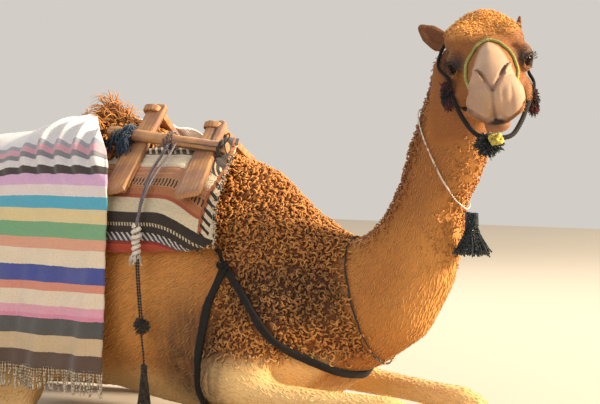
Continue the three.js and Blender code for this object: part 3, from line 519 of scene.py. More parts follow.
# ---------------------------------------------------------------- the head's relief
class Clay:
    """A field near the head's surface that is worked like clay, in the head's millimetres."""

    def __init__(self, field, values):
        self.field, self.values = field, values
        grid = np.meshgrid(*field.axes(), indexing="ij")
        self.near = np.nonzero(np.abs(values.ravel()) < CLAY_REACH)[0]
        self.points = to_head(points_at(grid, self.near)).astype(np.float32)
        keep = (self.points[:, 0] > -230) & (np.abs(self.points).max(axis=1) < 320)
        self.near, self.points = self.near[keep], self.points[keep]
        self.depth = values.ravel()[self.near] * 1000

    def on_front(self, path):
        """Points (left, up) seen from the front, laid on the surface."""
        found = []
        for left, up in path:
            forward = np.arange(300, -60, -1.0)
            ray = np.stack([forward, np.full_like(forward, left), np.full_like(forward, up)], 1)
            inside = np.nonzero(self.field.sample(self.values, from_head(ray)) < 0)[0]
            found.append((max(forward[inside[0]], MUZZLE_FRONT) if len(inside) else MUZZLE_FRONT, left, up))
        return found

    def settle(self):
        """Lets later paths be laid on the shape as it is now."""
        self.values = self.result()

    def on_surface(self, path):
        """Points near the surface, laid on it."""
        points = np.asarray(path, float)
        for _ in range(8):
            value = self.field.sample(self.values, from_head(points)) * 1000
            slope = np.stack(
                [
                    self.field.sample(self.values, from_head(points + step))
                    - self.field.sample(self.values, from_head(points - step))
                    for step in np.eye(3) * 4
                ],
                1,
            )
            points = points - unit(slope) * value[:, None] * 0.8
        return points

    def near_path(self, path, reach):
        """Indices of the clay near a path, their distance to it and how far along it they are."""
        curve = spline(path, 14) if len(path) > 2 else np.asarray(path, float)
        low, high = curve.min(0) - reach, curve.max(0) + reach
        some = np.nonzero(np.all((self.points > low) & (self.points < high), axis=1))[0]
        p = self.points[some]
        best = np.full(len(some), 1e9, np.float32)
        along = np.zeros(len(some), np.float32)
        for k in range(len(curve) - 1):
            a, b = curve[k], curve[k + 1]
            t = np.clip((p - a) @ (b - a) / max((b - a) @ (b - a), 1e-9), 0, 1)
            d = np.linalg.norm(p - (a + t[:, None] * (b - a)), axis=1)
            closer = d < best
            best = np.where(closer, d, best)
            along = np.where(closer, (k + t) / (len(curve) - 1), along)
        return some, best, along

    def crease(self, path, depth, width):
        """A soft groove along a path, or a ridge where its depth is negative, tapered at its ends."""
        some, d, along = self.near_path(path, 3 * width)
        taper = np.clip(4 * np.minimum(along, 1 - along) + 0.25, 0, 1)
        self.depth[some] += depth * taper * np.exp(-((d / width) ** 2))

    def work(self, some, shape, reach, dig):
        """Adds a shape to some of the clay, or digs it out, with a fillet."""
        sign = -1 if dig else 1
        self.depth[some] = sign * blend_union(sign * self.depth[some], shape, reach)

    def roll(self, path, radii, reach, dig=False):
        """A rounded fold of flesh along a path, or a slit of its shape."""
        some, d, along = self.near_path(path, max(radii) + 30)
        radius = np.interp(along, np.linspace(0, 1, len(radii)), radii)
        self.work(some, d - radius, reach, dig)

    def mound(self, centre, radii, reach, turn=(0, 0, 0), dig=False):
        """An ellipsoid of flesh, or a hollow of its shape."""
        radii = np.asarray(radii, float)
        offsets = self.points - np.asarray(centre, float)
        some = np.nonzero(np.linalg.norm(offsets, axis=1) < radii.max() + 36)[0]
        q = offsets[some] @ np.array(Euler([math.radians(a) for a in turn]).to_matrix())
        k0 = np.linalg.norm(q / radii, axis=1)
        k1 = np.maximum(np.linalg.norm(q / radii**2, axis=1), 1e-6)
        self.work(some, k0 * (k0 - 1) / k1, reach, dig)

    def result(self):
        values = self.values.ravel().copy()
        values[self.near] = self.depth / 1000
        return values.reshape(self.values.shape)


def mirror_path(path, side):
    return [(p[0], p[1] * side, p[2]) for p in path]


def eye_axes(side):
    """One eye's centre, and its ways towards the nose, up and out."""
    outward = unit(np.array([0.52, 0.85 * side, -0.10]))
    along = np.cross(outward, [0, 0, 1])
    along = unit(along * np.sign(along[0]))
    up = np.cross(along, outward)
    return np.array([4.0, 92.0 * side, -7.0]), along, up * np.sign(up[2]), outward


def lid_lines(side):
    """The edges of the upper and the lower lid, from the corner at the nose to the corner at the temple."""
    centre, along, up, outward = eye_axes(side)
    at = lambda a, u, o: centre + along * a + up * u + outward * o
    upper = [at(29, -13, 11), at(19, 7, 17), at(4, 14, 18), at(-12, 10, 17), at(-26, -5, 10)]
    lower = [at(29, -13, 11), at(17, -20, 13), at(1, -23, 14), at(-14, -19, 12), at(-26, -5, 10)]
    return upper, lower


def model_eye_socket(clay, side):
    """Lids round one eye, a heavy brow over it and the bags below."""
    centre, along, up, outward = eye_axes(side)
    at = lambda a, u, o: centre + along * a + up * u + outward * o
    clay.mound(at(-2, -4, 0), (35, 24, 28), 12)
    clay.mound(at(-8, 21, -4), (34, 20, 11), 12)  # brow
    ridge = [(-34, 103 * side, 20), (2, 98 * side, 30), (26, 84 * side, 39), (42, 68 * side, 43)]
    clay.roll([p - 7 * unit(np.array([0.2, side, 0.9])) for p in np.array(ridge, float)], [7, 9, 7, 2], 16)
    turn = (0, 0, math.degrees(math.atan2(along[1], along[0])))
    clay.mound(at(1, -5, 19), (28, 15, 17), 2, turn=turn, dig=True)
    upper, lower = lid_lines(side)
    clay.roll(upper, [2.4, 3.6, 4.2, 3.8, 2.4], 3)
    clay.roll(lower, [2.2, 3.0, 3.4, 3.0, 2.2], 3)
    clay.crease([p + up * 9 + outward * 1 for p in upper], 3.4, 4.2)
    clay.crease([p - up * 9 for p in lower], 2.6, 4.0)
    clay.crease([p - up * 18 - outward * 3 for p in lower], 1.8, 4.5)
    clay.crease([at(27, -7, 10), at(38, -16, 8), at(52, -26, 2)], 3.2, 4.5)  # tear line


def model_head(clay):
    """Brows, cheeks, nose, nostrils, lips and chin."""
    front = clay.on_front
    for side in (-1, 1):
        model_eye_socket(clay, side)
        clay.mound((-66, 108 * side, 30), (34, 15, 30), 12, dig=True)  # temple
        for line, depth, width in (
            ([(44, 86, -20), (86, 66, -40), (130, 58, -52)], -3.0, 9),
            ([(30, 88, -52), (76, 72, -76), (122, 62, -96)], 3.6, 13),
        ):
            clay.crease(clay.on_surface(mirror_path(line, side)), depth, width)
        clay.mound((-44, 84 * side, -96), (54, 26, 46), 14)  # chewing muscle
    # the broad woolly crown
    clay.mound((-55, -62, 70), (70, 54, 44), 26)
    clay.mound((-60, 60, 60), (60, 36, 42), 24)
    clay.settle()
    # the nose bone and the soft sides of the nose; the face falls in between them and the eyes
    clay.mound((70, -76, 36), (52, 37, 34), 14, dig=True)
    clay.mound((70, 88, 30), (46, 32, 32), 14, dig=True)
    clay.crease(clay.on_surface([(40, 0, 50), (90, 0, 40), (150, 0, 22), (196, 0, 4)]), -3.0, 15)
    for side in (-1, 1):
        clay.crease(clay.on_surface(mirror_path([(40, 40, 36), (96, 34, 22), (150, 32, 4)], side)), 2.6, 8)
    # upper lip: two hanging lobes parted by a cleft
    clay.mound((222, -39, -120), (37, 35, 46), 7)
    clay.mound((224, 40, -108), (37, 37, 60), 5)
    clay.settle()
    clay.crease(front(CLEFT), 13.0, 7.0)
    # nostrils: slanting slits under folded wings
    for name, shift in (("left", 9), ("right", -9)):
        path = front(NOSTRILS[name])
        sunk = [14, 8, 6, 6]
        clay.roll([(p[0] - d, p[1] + shift, p[2] + 3) for p, d in zip(path, sunk)], [3, 6.5, 6, 3], 13)
        clay.roll([(p[0] - 2, p[1], p[2]) for p in path], [4.4, 6.6, 5.2, 3.4], 4, dig=True)
    clay.settle()
    # creases over the lobes
    clay.crease(front([(-74, -92), (-58, -77), (-40, -70), (-23, -73), (-8, -84)]), 11.0, 6.0)
    clay.crease(front([(12, -74), (30, -56), (50, -48), (64, -62), (72, -96)]), 5.0, 6.0)
    for y, top, bottom in (
        (-56, -96, -128), (-41, -90, -142), (-25, -88, -150), (22, -84, -150), (44, -74, -146),
    ):
        clay.crease(front([(y, top), (y * 0.98, (top + bottom) / 2), (y * 0.88, bottom)]), 2.4, 4.6)
    # mouth, lower lip and chin; the jaw falls back beside the lip
    for side in (-1, 1):
        clay.mound((228, 68 * side, -184), (48, 31, 29), 12, dig=True)
    clay.mound((208, 0, -176), (34, 33, 19), 12)
    clay.settle()
    for name, side in (("right", -1), ("left", 1)):
        path = [(p[0] - 4, p[1], p[2]) for p in front(LIP_EDGES[name])]
        path += clay.on_surface(mirror_path([(186, 74, -104), (156, 72, -98), (130, 70, -98)], side)).tolist()
        clay.roll(path, [7.5, 6.5, 5.2, 4.4, 3.8, 3.4, 3.0, 2.4], 3, dig=True)
    clay.mound((246, 1, -168), (22, 19, 9), 3, dig=True)


def model_ears(field, values):
    """The ears, kept thin, and joined to the head with a small fillet."""
    for name in ("ear_right", "ear_left"):
        ear = blurred(field.of_nodes([name]), 0.8) + 0.0012
        values = blend_union(values, ear, 0.012)
    return values


# ---------------------------------------------------------------- the skin
def points_at(grid, some):
    """The places of some of a grid's points."""
    return np.stack([axis.ravel()[some] for axis in grid], 1)


def tail_distance(points):
    """How far each point is from the tail's dock, whose radius is the fourth number of each station."""
    best = np.full(len(points), 1.0)
    for (*a, ra), (*b, rb) in zip(TAIL[:-1], TAIL[1:]):
        a, b = np.array(a), np.array(b)
        t = np.clip((points - a) @ (b - a) / ((b - a) @ (b - a)), 0, 1)
        away = np.linalg.norm(points - a - t[:, None] * (b - a), axis=1)
        best = np.minimum(best, away - (ra + (rb - ra) * t))
    return best


def body_field():
    """The trunk, neck and limbs as one field, and which limb each point belongs to."""
    field = Field(*BODY_BOX, 0.013, band=5)
    each = [field.of_nodes([name]) for name in FLESH]
    whole = field.whole(np.minimum.reduce(each))
    soft, firm = blurred(whole, 1.4), blurred(whole, 0.7)
    grid = np.meshgrid(*field.axes(), indexing="ij")
    points = points_at(grid, slice(None))
    near = np.abs(whole).ravel() < 0.05
    low = np.zeros(whole.size, np.float32)
    marks = markings(points[near])
    low[near] = np.maximum(marks["leg"], ball_mask(points[near], (0, 0, 0.03), (0.13, 0.11, 0.09)))
    depth = np.full(whole.size, 0.008, np.float32)
    depth[near] = coat_depth(marks)
    low = low.reshape(whole.shape)
    values = soft * (1 - 0.8 * low) + firm * 0.8 * low + depth.reshape(whole.shape)
    # the tail's dock is thinner than the grid would keep
    far = np.nonzero(grid[0].ravel() < TAIL[0][0] + 0.12)[0]
    dock = tail_distance(points_at(grid, far))
    flat = values.ravel()
    flat[far] = blend_union(flat[far], dock.astype(np.float32), 0.03)
    values = flat.reshape(values.shape)
    # the skin never passes below the floor
    values = np.maximum(values, SKIN_GAP - grid[2])
    return field, values, np.argmin(each, axis=0)


def head_field(body, body_values):
    """The head and the top of the neck on a finer grid."""
    field = Field((0.40, -0.50, 0.905), (1.045, 0.125, 1.32), 0.0036, band=10)
    base = blurred(field.whole(field.of_nodes(["neck", "head", "eye_right", "eye_left"])), 3.0)
    for at in EYE_AT.values():  # the sockets are filled, to be opened again
        centre = from_head(at)
        grid = np.meshgrid(*field.axes(), indexing="ij", sparse=True)
        ball = np.sqrt(sum((g - c) ** 2 for g, c in zip(grid, centre))) - 0.021
        base = blend_union(base, ball.astype(np.float32), 0.012)
    grid = np.meshgrid(*field.axes(), indexing="ij")
    near = np.nonzero(np.abs(base.ravel()) < 0.03)[0]
    points = points_at(grid, near)
    flat = base.ravel()
    flat[near] += coat_depth(markings(points)).astype(np.float32)
    # it runs into the body's own field towards the seam
    low = points[:, 2] < NECK_SEAM + 0.09
    share = smooth(points[low, 2], NECK_SEAM + 0.02, NECK_SEAM + 0.09)
    flat[near[low]] = flat[near[low]] * share + body.sample(body_values, points[low]) * (1 - share)
    base = flat.reshape(base.shape)
    clay = Clay(field, base)
    model_head(clay)
    return field, model_ears(field, clay.result())


def trimmed(points, quads, keep_above):
    """The mesh on one side of the seam, and the ring of points that the seam leaves."""
    mesh = bmesh.new()
    verts = [mesh.verts.new(p) for p in points.tolist()]
    for quad in quads.tolist():
        mesh.faces.new([verts[i] for i in quad])
    sign = -1 if keep_above else 1
    ahead = [v for v in mesh.verts if v.co.x > NECK_SEAM_FROM]
    edges = {e for v in ahead for e in v.link_edges}
    faces = {f for v in ahead for f in v.link_faces}
    geometry = [*ahead, *edges, *faces]
    bmesh.ops.bisect_plane(mesh, geom=geometry, plane_co=(0, 0, NECK_SEAM), plane_no=(0, 0, sign), dist=1e-5)
    gone = [v for v in mesh.verts if v.co.x > NECK_SEAM_FROM and (v.co.z - NECK_SEAM) * sign > 1e-5]
    bmesh.ops.delete(mesh, geom=gone, context="VERTS")
    loose = [v for v in mesh.verts if not v.link_faces]
    bmesh.ops.delete(mesh, geom=loose, context="VERTS")
    mesh.verts.ensure_lookup_table()
    mesh.verts.index_update()
    ring = [v.index for v in mesh.verts if v.is_boundary]
    corners = np.array([v.co[:] for v in mesh.verts])
    cells = [[v.index for v in f.verts] for f in mesh.faces]
    mesh.free()
    return corners, cells, ring


def sewn(lower, upper):
    """Two open meshes joined along their rings by one row of triangles."""
    (low_points, low_faces, low_ring), (top_points, top_faces, top_ring) = lower, upper
    shift = len(low_points)
    points = np.vstack([low_points, top_points])
    faces = low_faces + [[i + shift for i in face] for face in top_faces]
    centre = points[low_ring].mean(axis=0)
    turn = lambda i: math.atan2(points[i][1] - centre[1], points[i][0] - centre[0])
    ahead = lambda ring, k: turn(ring[(k + 1) % len(ring)]) + (2 * math.pi if k + 1 >= len(ring) else 0)
    a = sorted(low_ring, key=turn)
    b = sorted((i + shift for i in top_ring), key=turn)
    i = j = 0
    while i < len(a) or j < len(b):
        if j >= len(b) or (i < len(a) and ahead(a, i) <= ahead(b, j)):
            faces.append([a[i % len(a)], a[(i + 1) % len(a)], b[j % len(b)]])
            i += 1
        else:
            faces.append([a[i % len(a)], b[(j + 1) % len(b)], b[j % len(b)]])
            j += 1
    return points, faces


def unwrap_skin(piece, limb_of_point):
    """Spreads the skin out in charts, one for each limb and each of six ways it faces, packed in a square."""
    mesh = piece.data
    normals = read(mesh.polygons, "normal", 3)
    starts = read(mesh.polygons, "loop_start", kind=np.int32)
    totals = read(mesh.polygons, "loop_total", kind=np.int32)
    corner = read(mesh.loops, "vertex_index", kind=np.int32)
    axis = np.argmax(np.abs(normals), axis=1)
    way = axis * 2 + (normals[np.arange(len(normals)), axis] > 0)
    chart = limb_of_point[corner[starts]] * 6 + way
    chart_of_loop = np.repeat(chart, totals)
    axis_of_loop = np.repeat(axis, totals)
    place = points_of(piece)[corner]
    flat = np.stack([place[np.arange(len(place)), (axis_of_loop + k) % 3] for k in (1, 2)], 1)
    charts = np.unique(chart)
    sizes = {}
    for c in charts:
        some = chart_of_loop == c
        low, high = flat[some].min(0), flat[some].max(0)
        sizes[c] = (high - low + 0.02, low)
        flat[some] -= low
    width = 1.25 * math.sqrt(sum(s[0][0] * s[0][1] for s in sizes.values()))
    u = v = row = 0.0
    for c in sorted(charts, key=lambda c: -sizes[c][0][1]):
        size = sizes[c][0]
        if u + size[0] > width:
            u, v, row = 0.0, v + row, 0.0
        flat[chart_of_loop == c] += (u, v)
        u, row = u + size[0], max(row, size[1])
    flat = flat / max(width, v + row) * 0.98 + 0.01
    layer = mesh.uv_layers.new(name="SkinMap")
    layer.uv.foreach_set("vector", flat.astype(np.float32).ravel())


def make_skin(name):
    """One skin over the whole body: coarse to the top of the neck and fine above it."""
    body, values, owner = body_field()
    head, head_values = head_field(body, values)
    points, faces = sewn(trimmed(*body.surface(values), False), trimmed(*head.surface(head_values), True))
    piece = new_piece(name, points, faces)
    points = points_of(piece)
    cell = np.clip(np.round((points - body.low) / body.step).astype(int), 0, np.array(body.shape) - 1)
    unwrap_skin(piece, owner[tuple(cell.T)])
    for key, mask in markings(points).items():
        store(piece, key, mask)
    normals = normals_of(piece)
    way = lie_of_hair(points)
    way = unit(way - normals * (way * normals).sum(1, keepdims=True))
    store(piece, "lie", way, "FLOAT_VECTOR")
    covers = Field(*BODY_BOX, 0.010, band=4)
    closest = covers.of_nodes(COVERS)
    # no coat grows where a pad, the blanket or a strap lies on the skin, but it does beside the straps' knots
    outward = np.minimum(*[covers.sample(closest, points + normals * reach) for reach in (0.012, 0.026)])
    beside_knots = pair_mask(points, (0.022, 0.27, 0.568), (0.04, 0.07, 0.022), 0.3)
    store(piece, "open", np.maximum(smooth(outward, -0.004, 0.006), beside_knots))
    return piece


# ---------------------------------------------------------------- coat: locks and tufts grown on the skin
def lock_mesh(name, centreline, widths, thick=0.5, sides=3):
    """One small tapered lock along a centreline, in its own frame: Z off the skin, X along the lie."""
    line = np.asarray(centreline, float)
    rings = len(line) - 1
    tangent = unit(np.gradient(line, axis=0))
    across = unit(np.cross(tangent, [0.05, 0.2, 1.0]))
    off = np.cross(across, tangent)
    points, along = [], []
    for k in range(rings):
        for s in range(sides):
            angle = 2 * math.pi * s / sides + math.pi / 2
            flat = across[k] * math.cos(angle) + off[k] * thick * math.sin(angle)
            points.append(line[k] + flat * widths[k])
            along.append(k / rings)
    points.append(line[-1])
    along.append(1.0)
    faces = []
    for k in range(rings - 1):
        for s in range(sides):
            t = (s + 1) % sides
            faces.append([k * sides + t, k * sides + s, (k + 1) * sides + s, (k + 1) * sides + t])
    tip = len(points) - 1
    faces += [[(rings - 1) * sides + (s + 1) % sides, (rings - 1) * sides + s, tip] for s in range(sides)]
    faces.append(list(range(sides)))
    piece = new_piece(name, points, faces)
    store(piece, "along", along)
    leaf = np.zeros((len(along), 3))
    leaf[:, 0] = np.asarray(along) - 0.5
    leaf[:-1, 1] = np.tile(np.linspace(-0.5, 0.5, sides), rings)
    store(piece, "leaf", leaf, "FLOAT_VECTOR")
    return piece


def curl_lines(size, kinds=5, steps=7):
    """Centrelines of wool curls: each rises from the skin and winds round on itself."""
    lines = []
    for k in range(kinds):
        turns = 0.62 + 0.16 * k / kinds
        start = -0.5 + 0.35 * (k % 3)
        t = np.linspace(0, 1, steps)
        angle = start + turns * 2 * math.pi * t * (1 if k % 2 else -1)
        radius = size * (0.62 - 0.34 * t)
        x = radius * np.sin(angle) * 0.9 + size * 0.55 * t
        y = radius * (np.cos(angle) - math.cos(start)) * 0.8
        z = size * (0.75 * np.sin(np.pi * np.minimum(t * 1.15, 1.0) * 0.72) + 0.1 * t)
        line = np.stack([x - x[0], y - y[0], z - z[0]], 1)
        lines.append(line)
    return lines


def tuft_lines(length, kinds=4, steps=4, rise=0.32, sway=0.18):
    """Centrelines of short tufts that lie back along the skin."""
    lines = []
    for k in range(kinds):
        t = np.linspace(0, 1, steps)
        bend = sway * (k / max(kinds - 1, 1) * 2 - 1)
        up = rise * np.sin(t * math.pi * 0.75) - 0.03
        lines.append(length * np.stack([t, bend * t**2, up], 1))
    return lines


def template_collection(name, lines, width, taper, thick):
    """A hidden collection of lock shapes for the coat to be grown from."""
    collection = bpy.data.collections.new(name)
    for k, line in enumerate(lines):
        widths = width * (1 - np.linspace(0, 1, len(line)) ** 1.5 * taper)
        piece = lock_mesh(f"{name}_{k}", line, widths, thick)
        bpy.context.scene.collection.objects.unlink(piece)
        collection.objects.link(piece)
    return collection


def new_tree(name, takes, sizes, gives):
    """An empty geometry tree with named inputs and one output."""
    tree = bpy.data.node_groups.new(name, "GeometryNodeTree")
    tree.interface.new_socket(takes, in_out="INPUT", socket_type="NodeSocketGeometry")
    for label, kind in sizes.items():
        tree.interface.new_socket(label, in_out="INPUT", socket_type="NodeSocket" + kind)
    tree.interface.new_socket(gives, in_out="OUTPUT", socket_type="NodeSocketGeometry")
    return tree, add(tree, "NodeGroupInput").outputs


def grow(piece, tree, values):
    """Runs a tree on a piece with these inputs and keeps the plain mesh that it makes."""
    modifier = piece.modifiers.new(tree.name, "NODES")
    modifier.node_group = tree
    for item in tree.interface.items_tree:
        if item.in_out == "INPUT" and item.name in values:
            modifier[item.identifier] = values[item.name]
    return apply_modifiers(piece)


def coat_tree():
    """The tree that grows one coat: even roots over the skin, a lock on each, laid the way the hair lies."""
    sizes = dict.fromkeys(("Spacing", "Most per square metre", "Smallest", "Largest", "Disorder"), "Float")
    sizes |= {"Seed": "Int", "Locks": "Collection", "Finish": "Material"}
    tree, given = new_tree("Grow coat", "Skin", sizes, "Coat")
    named = {
        name: add(tree, "GeometryNodeInputNamedAttribute", {"Name": name}, data_type=kind)
        for kind, names in (
            ("FLOAT", ("growth", "reach")),
            ("FLOAT_VECTOR", ("lie", "leaf", "SkinMap", "root_uv")),
        )
        for name in names
    }
    roots = add(
        tree,
        "GeometryNodeDistributePointsOnFaces",
        {
            "Mesh": given["Skin"],
            "Distance Min": given["Spacing"],
            "Density Max": given["Most per square metre"],
            "Density Factor": named["growth"],
            "Seed": given["Seed"],
        },
        distribute_method="POISSON",
    )
    # each lock keeps its root's place on the skin's map, and a shade of its own
    keep_uv = add(
        tree,
        "GeometryNodeStoreNamedAttribute",
        {"Geometry": roots, "Name": "root_uv", "Value": named["SkinMap"]},
        data_type="FLOAT_VECTOR",
        domain="POINT",
    )
    shade = add(tree, "FunctionNodeRandomValue", {"Seed": given["Seed"]}, data_type="FLOAT")
    keep_shade = add(
        tree,
        "GeometryNodeStoreNamedAttribute",
        {"Geometry": keep_uv, "Name": "shade", "Value": shade},
        data_type="FLOAT",
        domain="POINT",
    )
    # laid along the skin, then swung out of line
    laid = add(
        tree,
        "FunctionNodeAxesToRotation",
        {"Primary Axis": roots.outputs["Normal"], "Secondary Axis": named["lie"]},
        primary_axis="Z",
        secondary_axis="X",
    )
    swing = add(
        tree,
        "FunctionNodeRandomValue",
        {"Min": (-0.3, -0.26, -3.1), "Max": (0.3, 0.26, 3.1), "Seed": given["Seed"]},
        data_type="FLOAT_VECTOR",
    )
    swung = add(tree, "ShaderNodeVectorMath", {0: swing, "Scale": given["Disorder"]}, operation="SCALE")
    turned = add(tree, "FunctionNodeEulerToRotation", {0: swung})
    rotation = add(
        tree, "FunctionNodeRotateRotation", {"Rotation": laid, "Rotate By": turned}, rotation_space="LOCAL"
    )
    size = add(
        tree,
        "FunctionNodeRandomValue",
        {"Min": given["Smallest"], "Max": given["Largest"], "Seed": given["Seed"]},
        data_type="FLOAT",
    )
    grown = add(tree, "ShaderNodeMath", {0: size, 1: named["reach"]}, operation="MULTIPLY")
    span = {"Min": 0, "Max": 11, "Seed": given["Seed"]}  # the locks are counted round and round
    which = add(tree, "FunctionNodeRandomValue", span, data_type="INT")
    locks = add(
        tree,
        "GeometryNodeCollectionInfo",
        {"Collection": given["Locks"], "Separate Children": True},
        transform_space="ORIGINAL",
    )
    each = {
        "Points": keep_shade,
        "Instance": locks,
        "Pick Instance": True,
        "Instance Index": which,
        "Rotation": rotation,
        "Scale": grown,
    }
    instances = add(tree, "GeometryNodeInstanceOnPoints", each)
    real = add(tree, "GeometryNodeRealizeInstances", {"Geometry": instances})
    # the bake's map: a small leaf for each lock, at its root's place
    leaf = add(tree, "ShaderNodeVectorMath", {0: named["leaf"], "Scale": LEAF_SIZE}, operation="SCALE")
    spot = add(tree, "ShaderNodeVectorMath", {0: named["root_uv"], 1: leaf}, operation="ADD")
    bake = add(
        tree,
        "GeometryNodeStoreNamedAttribute",
        {"Geometry": real, "Name": "OFBake", "Value": spot},
        data_type="FLOAT2",
        domain="CORNER",
    )
    painted = add(tree, "GeometryNodeSetMaterial", {"Geometry": bake, "Material": given["Finish"]})
    add(tree, "NodeGroupOutput", {"Coat": painted})
    return tree


def grow_coat(skin, name, growth, reach, locks, finish_material, seed, spacing, sizes, disorder):
    """Grows one piece of coat on the skin and makes it a plain mesh."""
    host = link(bpy.data.objects.new(name, skin.data.copy()))
    store(host, "growth", growth)
    store(host, "reach", reach)
    values = {
        "Spacing": spacing,
        "Most per square metre": 1.5 / spacing**2,
        "Smallest": sizes[0],
        "Largest": sizes[1],
        "Disorder": disorder,
        "Seed": seed,
        "Locks": locks,
        "Finish": finish_material,
    }
    grow(host, bpy.data.node_groups.get("Grow coat") or coat_tree(), values)
    for spare in ("root_uv", "leaf", "lie", "growth", "reach", "open"):
        if spare in host.data.attributes:
            host.data.attributes.remove(host.data.attributes[spare])
    # locks whose tips would pass the floor lie flatter on it
    each = points_of(host).reshape(-1, len(locks.objects[0].data.vertices), 3)
    top = each[:, :, 2].max(axis=1)[:, None]
    low = each[:, :, 2].min(axis=1)[:, None]
    flatter = np.where(low < FLOOR_GAP, np.clip((top - FLOOR_GAP) / (top - low), 0.02, 1), 1)
    each[:, :, 2] = top - (top - each[:, :, 2]) * flatter
    move_points(host, each.reshape(-1, 3))
    host.data.shade_smooth()
    return host


# ---------------------------------------------------------------- finishes
def material(name):
    made = bpy.data.materials.new(name)
    made.use_nodes = True
    tree = made.node_tree
    return made, tree, tree.nodes["Principled BSDF"]


def coat_material(name, tufts, colours):
    """Camel hair, grown: dull, soft-edged, sun-bleached towards its tips; painted shade in the depths of the
    wool, and painted sunlight and shade in places.
    """
    made, tree, shader = material(name)
    keys = ["wool", "crest", "gold", "nape", "head", "pale", "forehead", "ear", "dark"]
    keys += ["along", "shade"] if tufts else ["nose", "bare", "crevice"]
    mark = {key: add(tree, "ShaderNodeAttribute", attribute_name=key).outputs["Fac"] for key in keys}
    place = add(tree, "ShaderNodeTexCoord").outputs["Object"]
    mottle = add(tree, "ShaderNodeTexNoise", {"Vector": place, "Scale": 9.0, "Detail": 4.0})
    uneven = add(tree, "ShaderNodeMapRange", {"Value": mottle, "To Min": -0.3, "To Max": 1.3})
    wool = {"A": colours.wool_dark, "B": colours.wool_light, "Factor": uneven}
    base = {"A": colours.coat_dark, "B": colours.coat_light, "Factor": mottle}
    base = add(tree, "ShaderNodeMix", base, data_type="RGBA")
    for key, colour, most in (
        ("wool", add(tree, "ShaderNodeMix", wool, data_type="RGBA"), 1.0),
        ("crest", "#a86c2f", 1.0),
        # painted sunlight, in a golden colour
        ("gold", "#cf8d42", 1.0),
        ("nape", "#7c4218", 0.6),
        ("head", "#7d451b", 0.72),
        ("pale", colours.leg_pale, 1.0),
        ("forehead", "#dd9c4c", 1.0),
        ("ear", "#5a3014", 0.7),
    ):
        share = add(tree, "ShaderNodeMapRange", {"Value": mark[key], "To Max": most})
        base = add(tree, "ShaderNodeMix", {"A": base, "B": colour, "Factor": share}, data_type="RGBA")
    # sweat stains, and painted shade at the temples, in the eye hollows and deep in the shoulder wool, drawn
    # out into upright streaks
    upright = add(tree, "ShaderNodeMapping", {"Vector": place, "Scale": (95, 60, 7)})
    streak = add(tree, "ShaderNodeTexNoise", {"Vector": upright, "Scale": 1.0, "Detail": 2.0})
    strength = add(tree, "ShaderNodeMapRange", {"Value": streak, "To Min": 0.35, "To Max": 1.5})
    both = {0: mark["dark"], 1: strength}
    streaked = add(tree, "ShaderNodeMath", both, operation="MULTIPLY", use_clamp=True)
    share = add(tree, "ShaderNodeMapRange", {"Value": streaked, "To Max": 0.92})
    base = add(tree, "ShaderNodeMix", {"A": base, "B": "#4a2814", "Factor": share}, data_type="RGBA")
    if tufts:
        base = lock_colour(tree, mark, base)
    else:
        base = hide_colour(tree, mark, base, mottle, colours)
        # hairs that lie flat, pores, and wrinkles where it is dark
        stretch = add(tree, "ShaderNodeMapping", {"Vector": place, "Scale": (90, 260, 60)})
        flat = {"Vector": stretch, "Scale": 1.0, "Detail": 5.0, "Roughness": 0.65}
        hairs = add(tree, "ShaderNodeTexNoise", flat)
        pores = add(tree, "ShaderNodeTexVoronoi", {"Vector": place, "Scale": 420.0})
        relief = add(tree, "ShaderNodeMath", {0: pores, 1: 0.35, 2: hairs}, operation="MULTIPLY_ADD")
        wrinkled = add(tree, "ShaderNodeMath", {0: streak, 1: mark["dark"]}, operation="MULTIPLY")
        relief = add(tree, "ShaderNodeMath", {0: wrinkled, 1: -4.0, 2: relief}, operation="MULTIPLY_ADD")
        bump = add(tree, "ShaderNodeBump", {"Strength": 0.6, "Distance": 0.0016, "Height": relief})
        feed(shader, {"Normal": bump})
    sheen = {"Sheen Weight": 0.16, "Sheen Roughness": 0.45, "Sheen Tint": "#eccb8c"}
    feed(shader, {"Base Color": base, "Roughness": 0.72, **sheen})
    return made


def lock_colour(tree, mark, base):
    """A lock's colour from root to tip, with painted shade at the roots of the curls, and how far it differs
    from the next one.
    """
    tip = add(tree, "ShaderNodeMath", {0: mark["along"], 1: 1.6}, operation="POWER")
    bleach = add(tree, "ShaderNodeMapRange", {"Value": tip, "To Min": 0.04, "To Max": 0.24})
    bright = add(tree, "ShaderNodeMix", {"A": base, "B": "#f2cf8e", "Factor": bleach}, data_type="RGBA")
    # painted shade at the roots of the curls, deep in the wool; short tufts keep their colour down to the
    # root
    depth = {"A": base, "B": "#cdbbae", "Factor": 1.0}
    deep = add(tree, "ShaderNodeMix", depth, data_type="RGBA", blend_type="MULTIPLY")
    curly = add(tree, "ShaderNodeMath", {0: mark["wool"], 1: mark["crest"]}, operation="MAXIMUM")
    rooted = add(tree, "ShaderNodeMapRange", {"Value": tip, "To Min": 0.15, "To Max": 1.0})
    plain = add(tree, "ShaderNodeMapRange", {"Value": curly, "To Min": 1.0, "To Max": 0.0})
    raised = add(tree, "ShaderNodeMath", {0: rooted, 1: plain}, operation="MAXIMUM")
    base = add(tree, "ShaderNodeMix", {"A": deep, "B": bright, "Factor": raised}, data_type="RGBA")
    shade = add(tree, "ShaderNodeMapRange", {"Value": mark["shade"], "To Min": -0.5, "To Max": 0.5})
    most = add(tree, "ShaderNodeMapRange", {"Value": curly, "To Min": 0.22, "To Max": 0.6})
    value = add(tree, "ShaderNodeMath", {0: shade, 1: most, 2: 1.0}, operation="MULTIPLY_ADD")
    return add(tree, "ShaderNodeHueSaturation", {"Color": base, "Value": value})


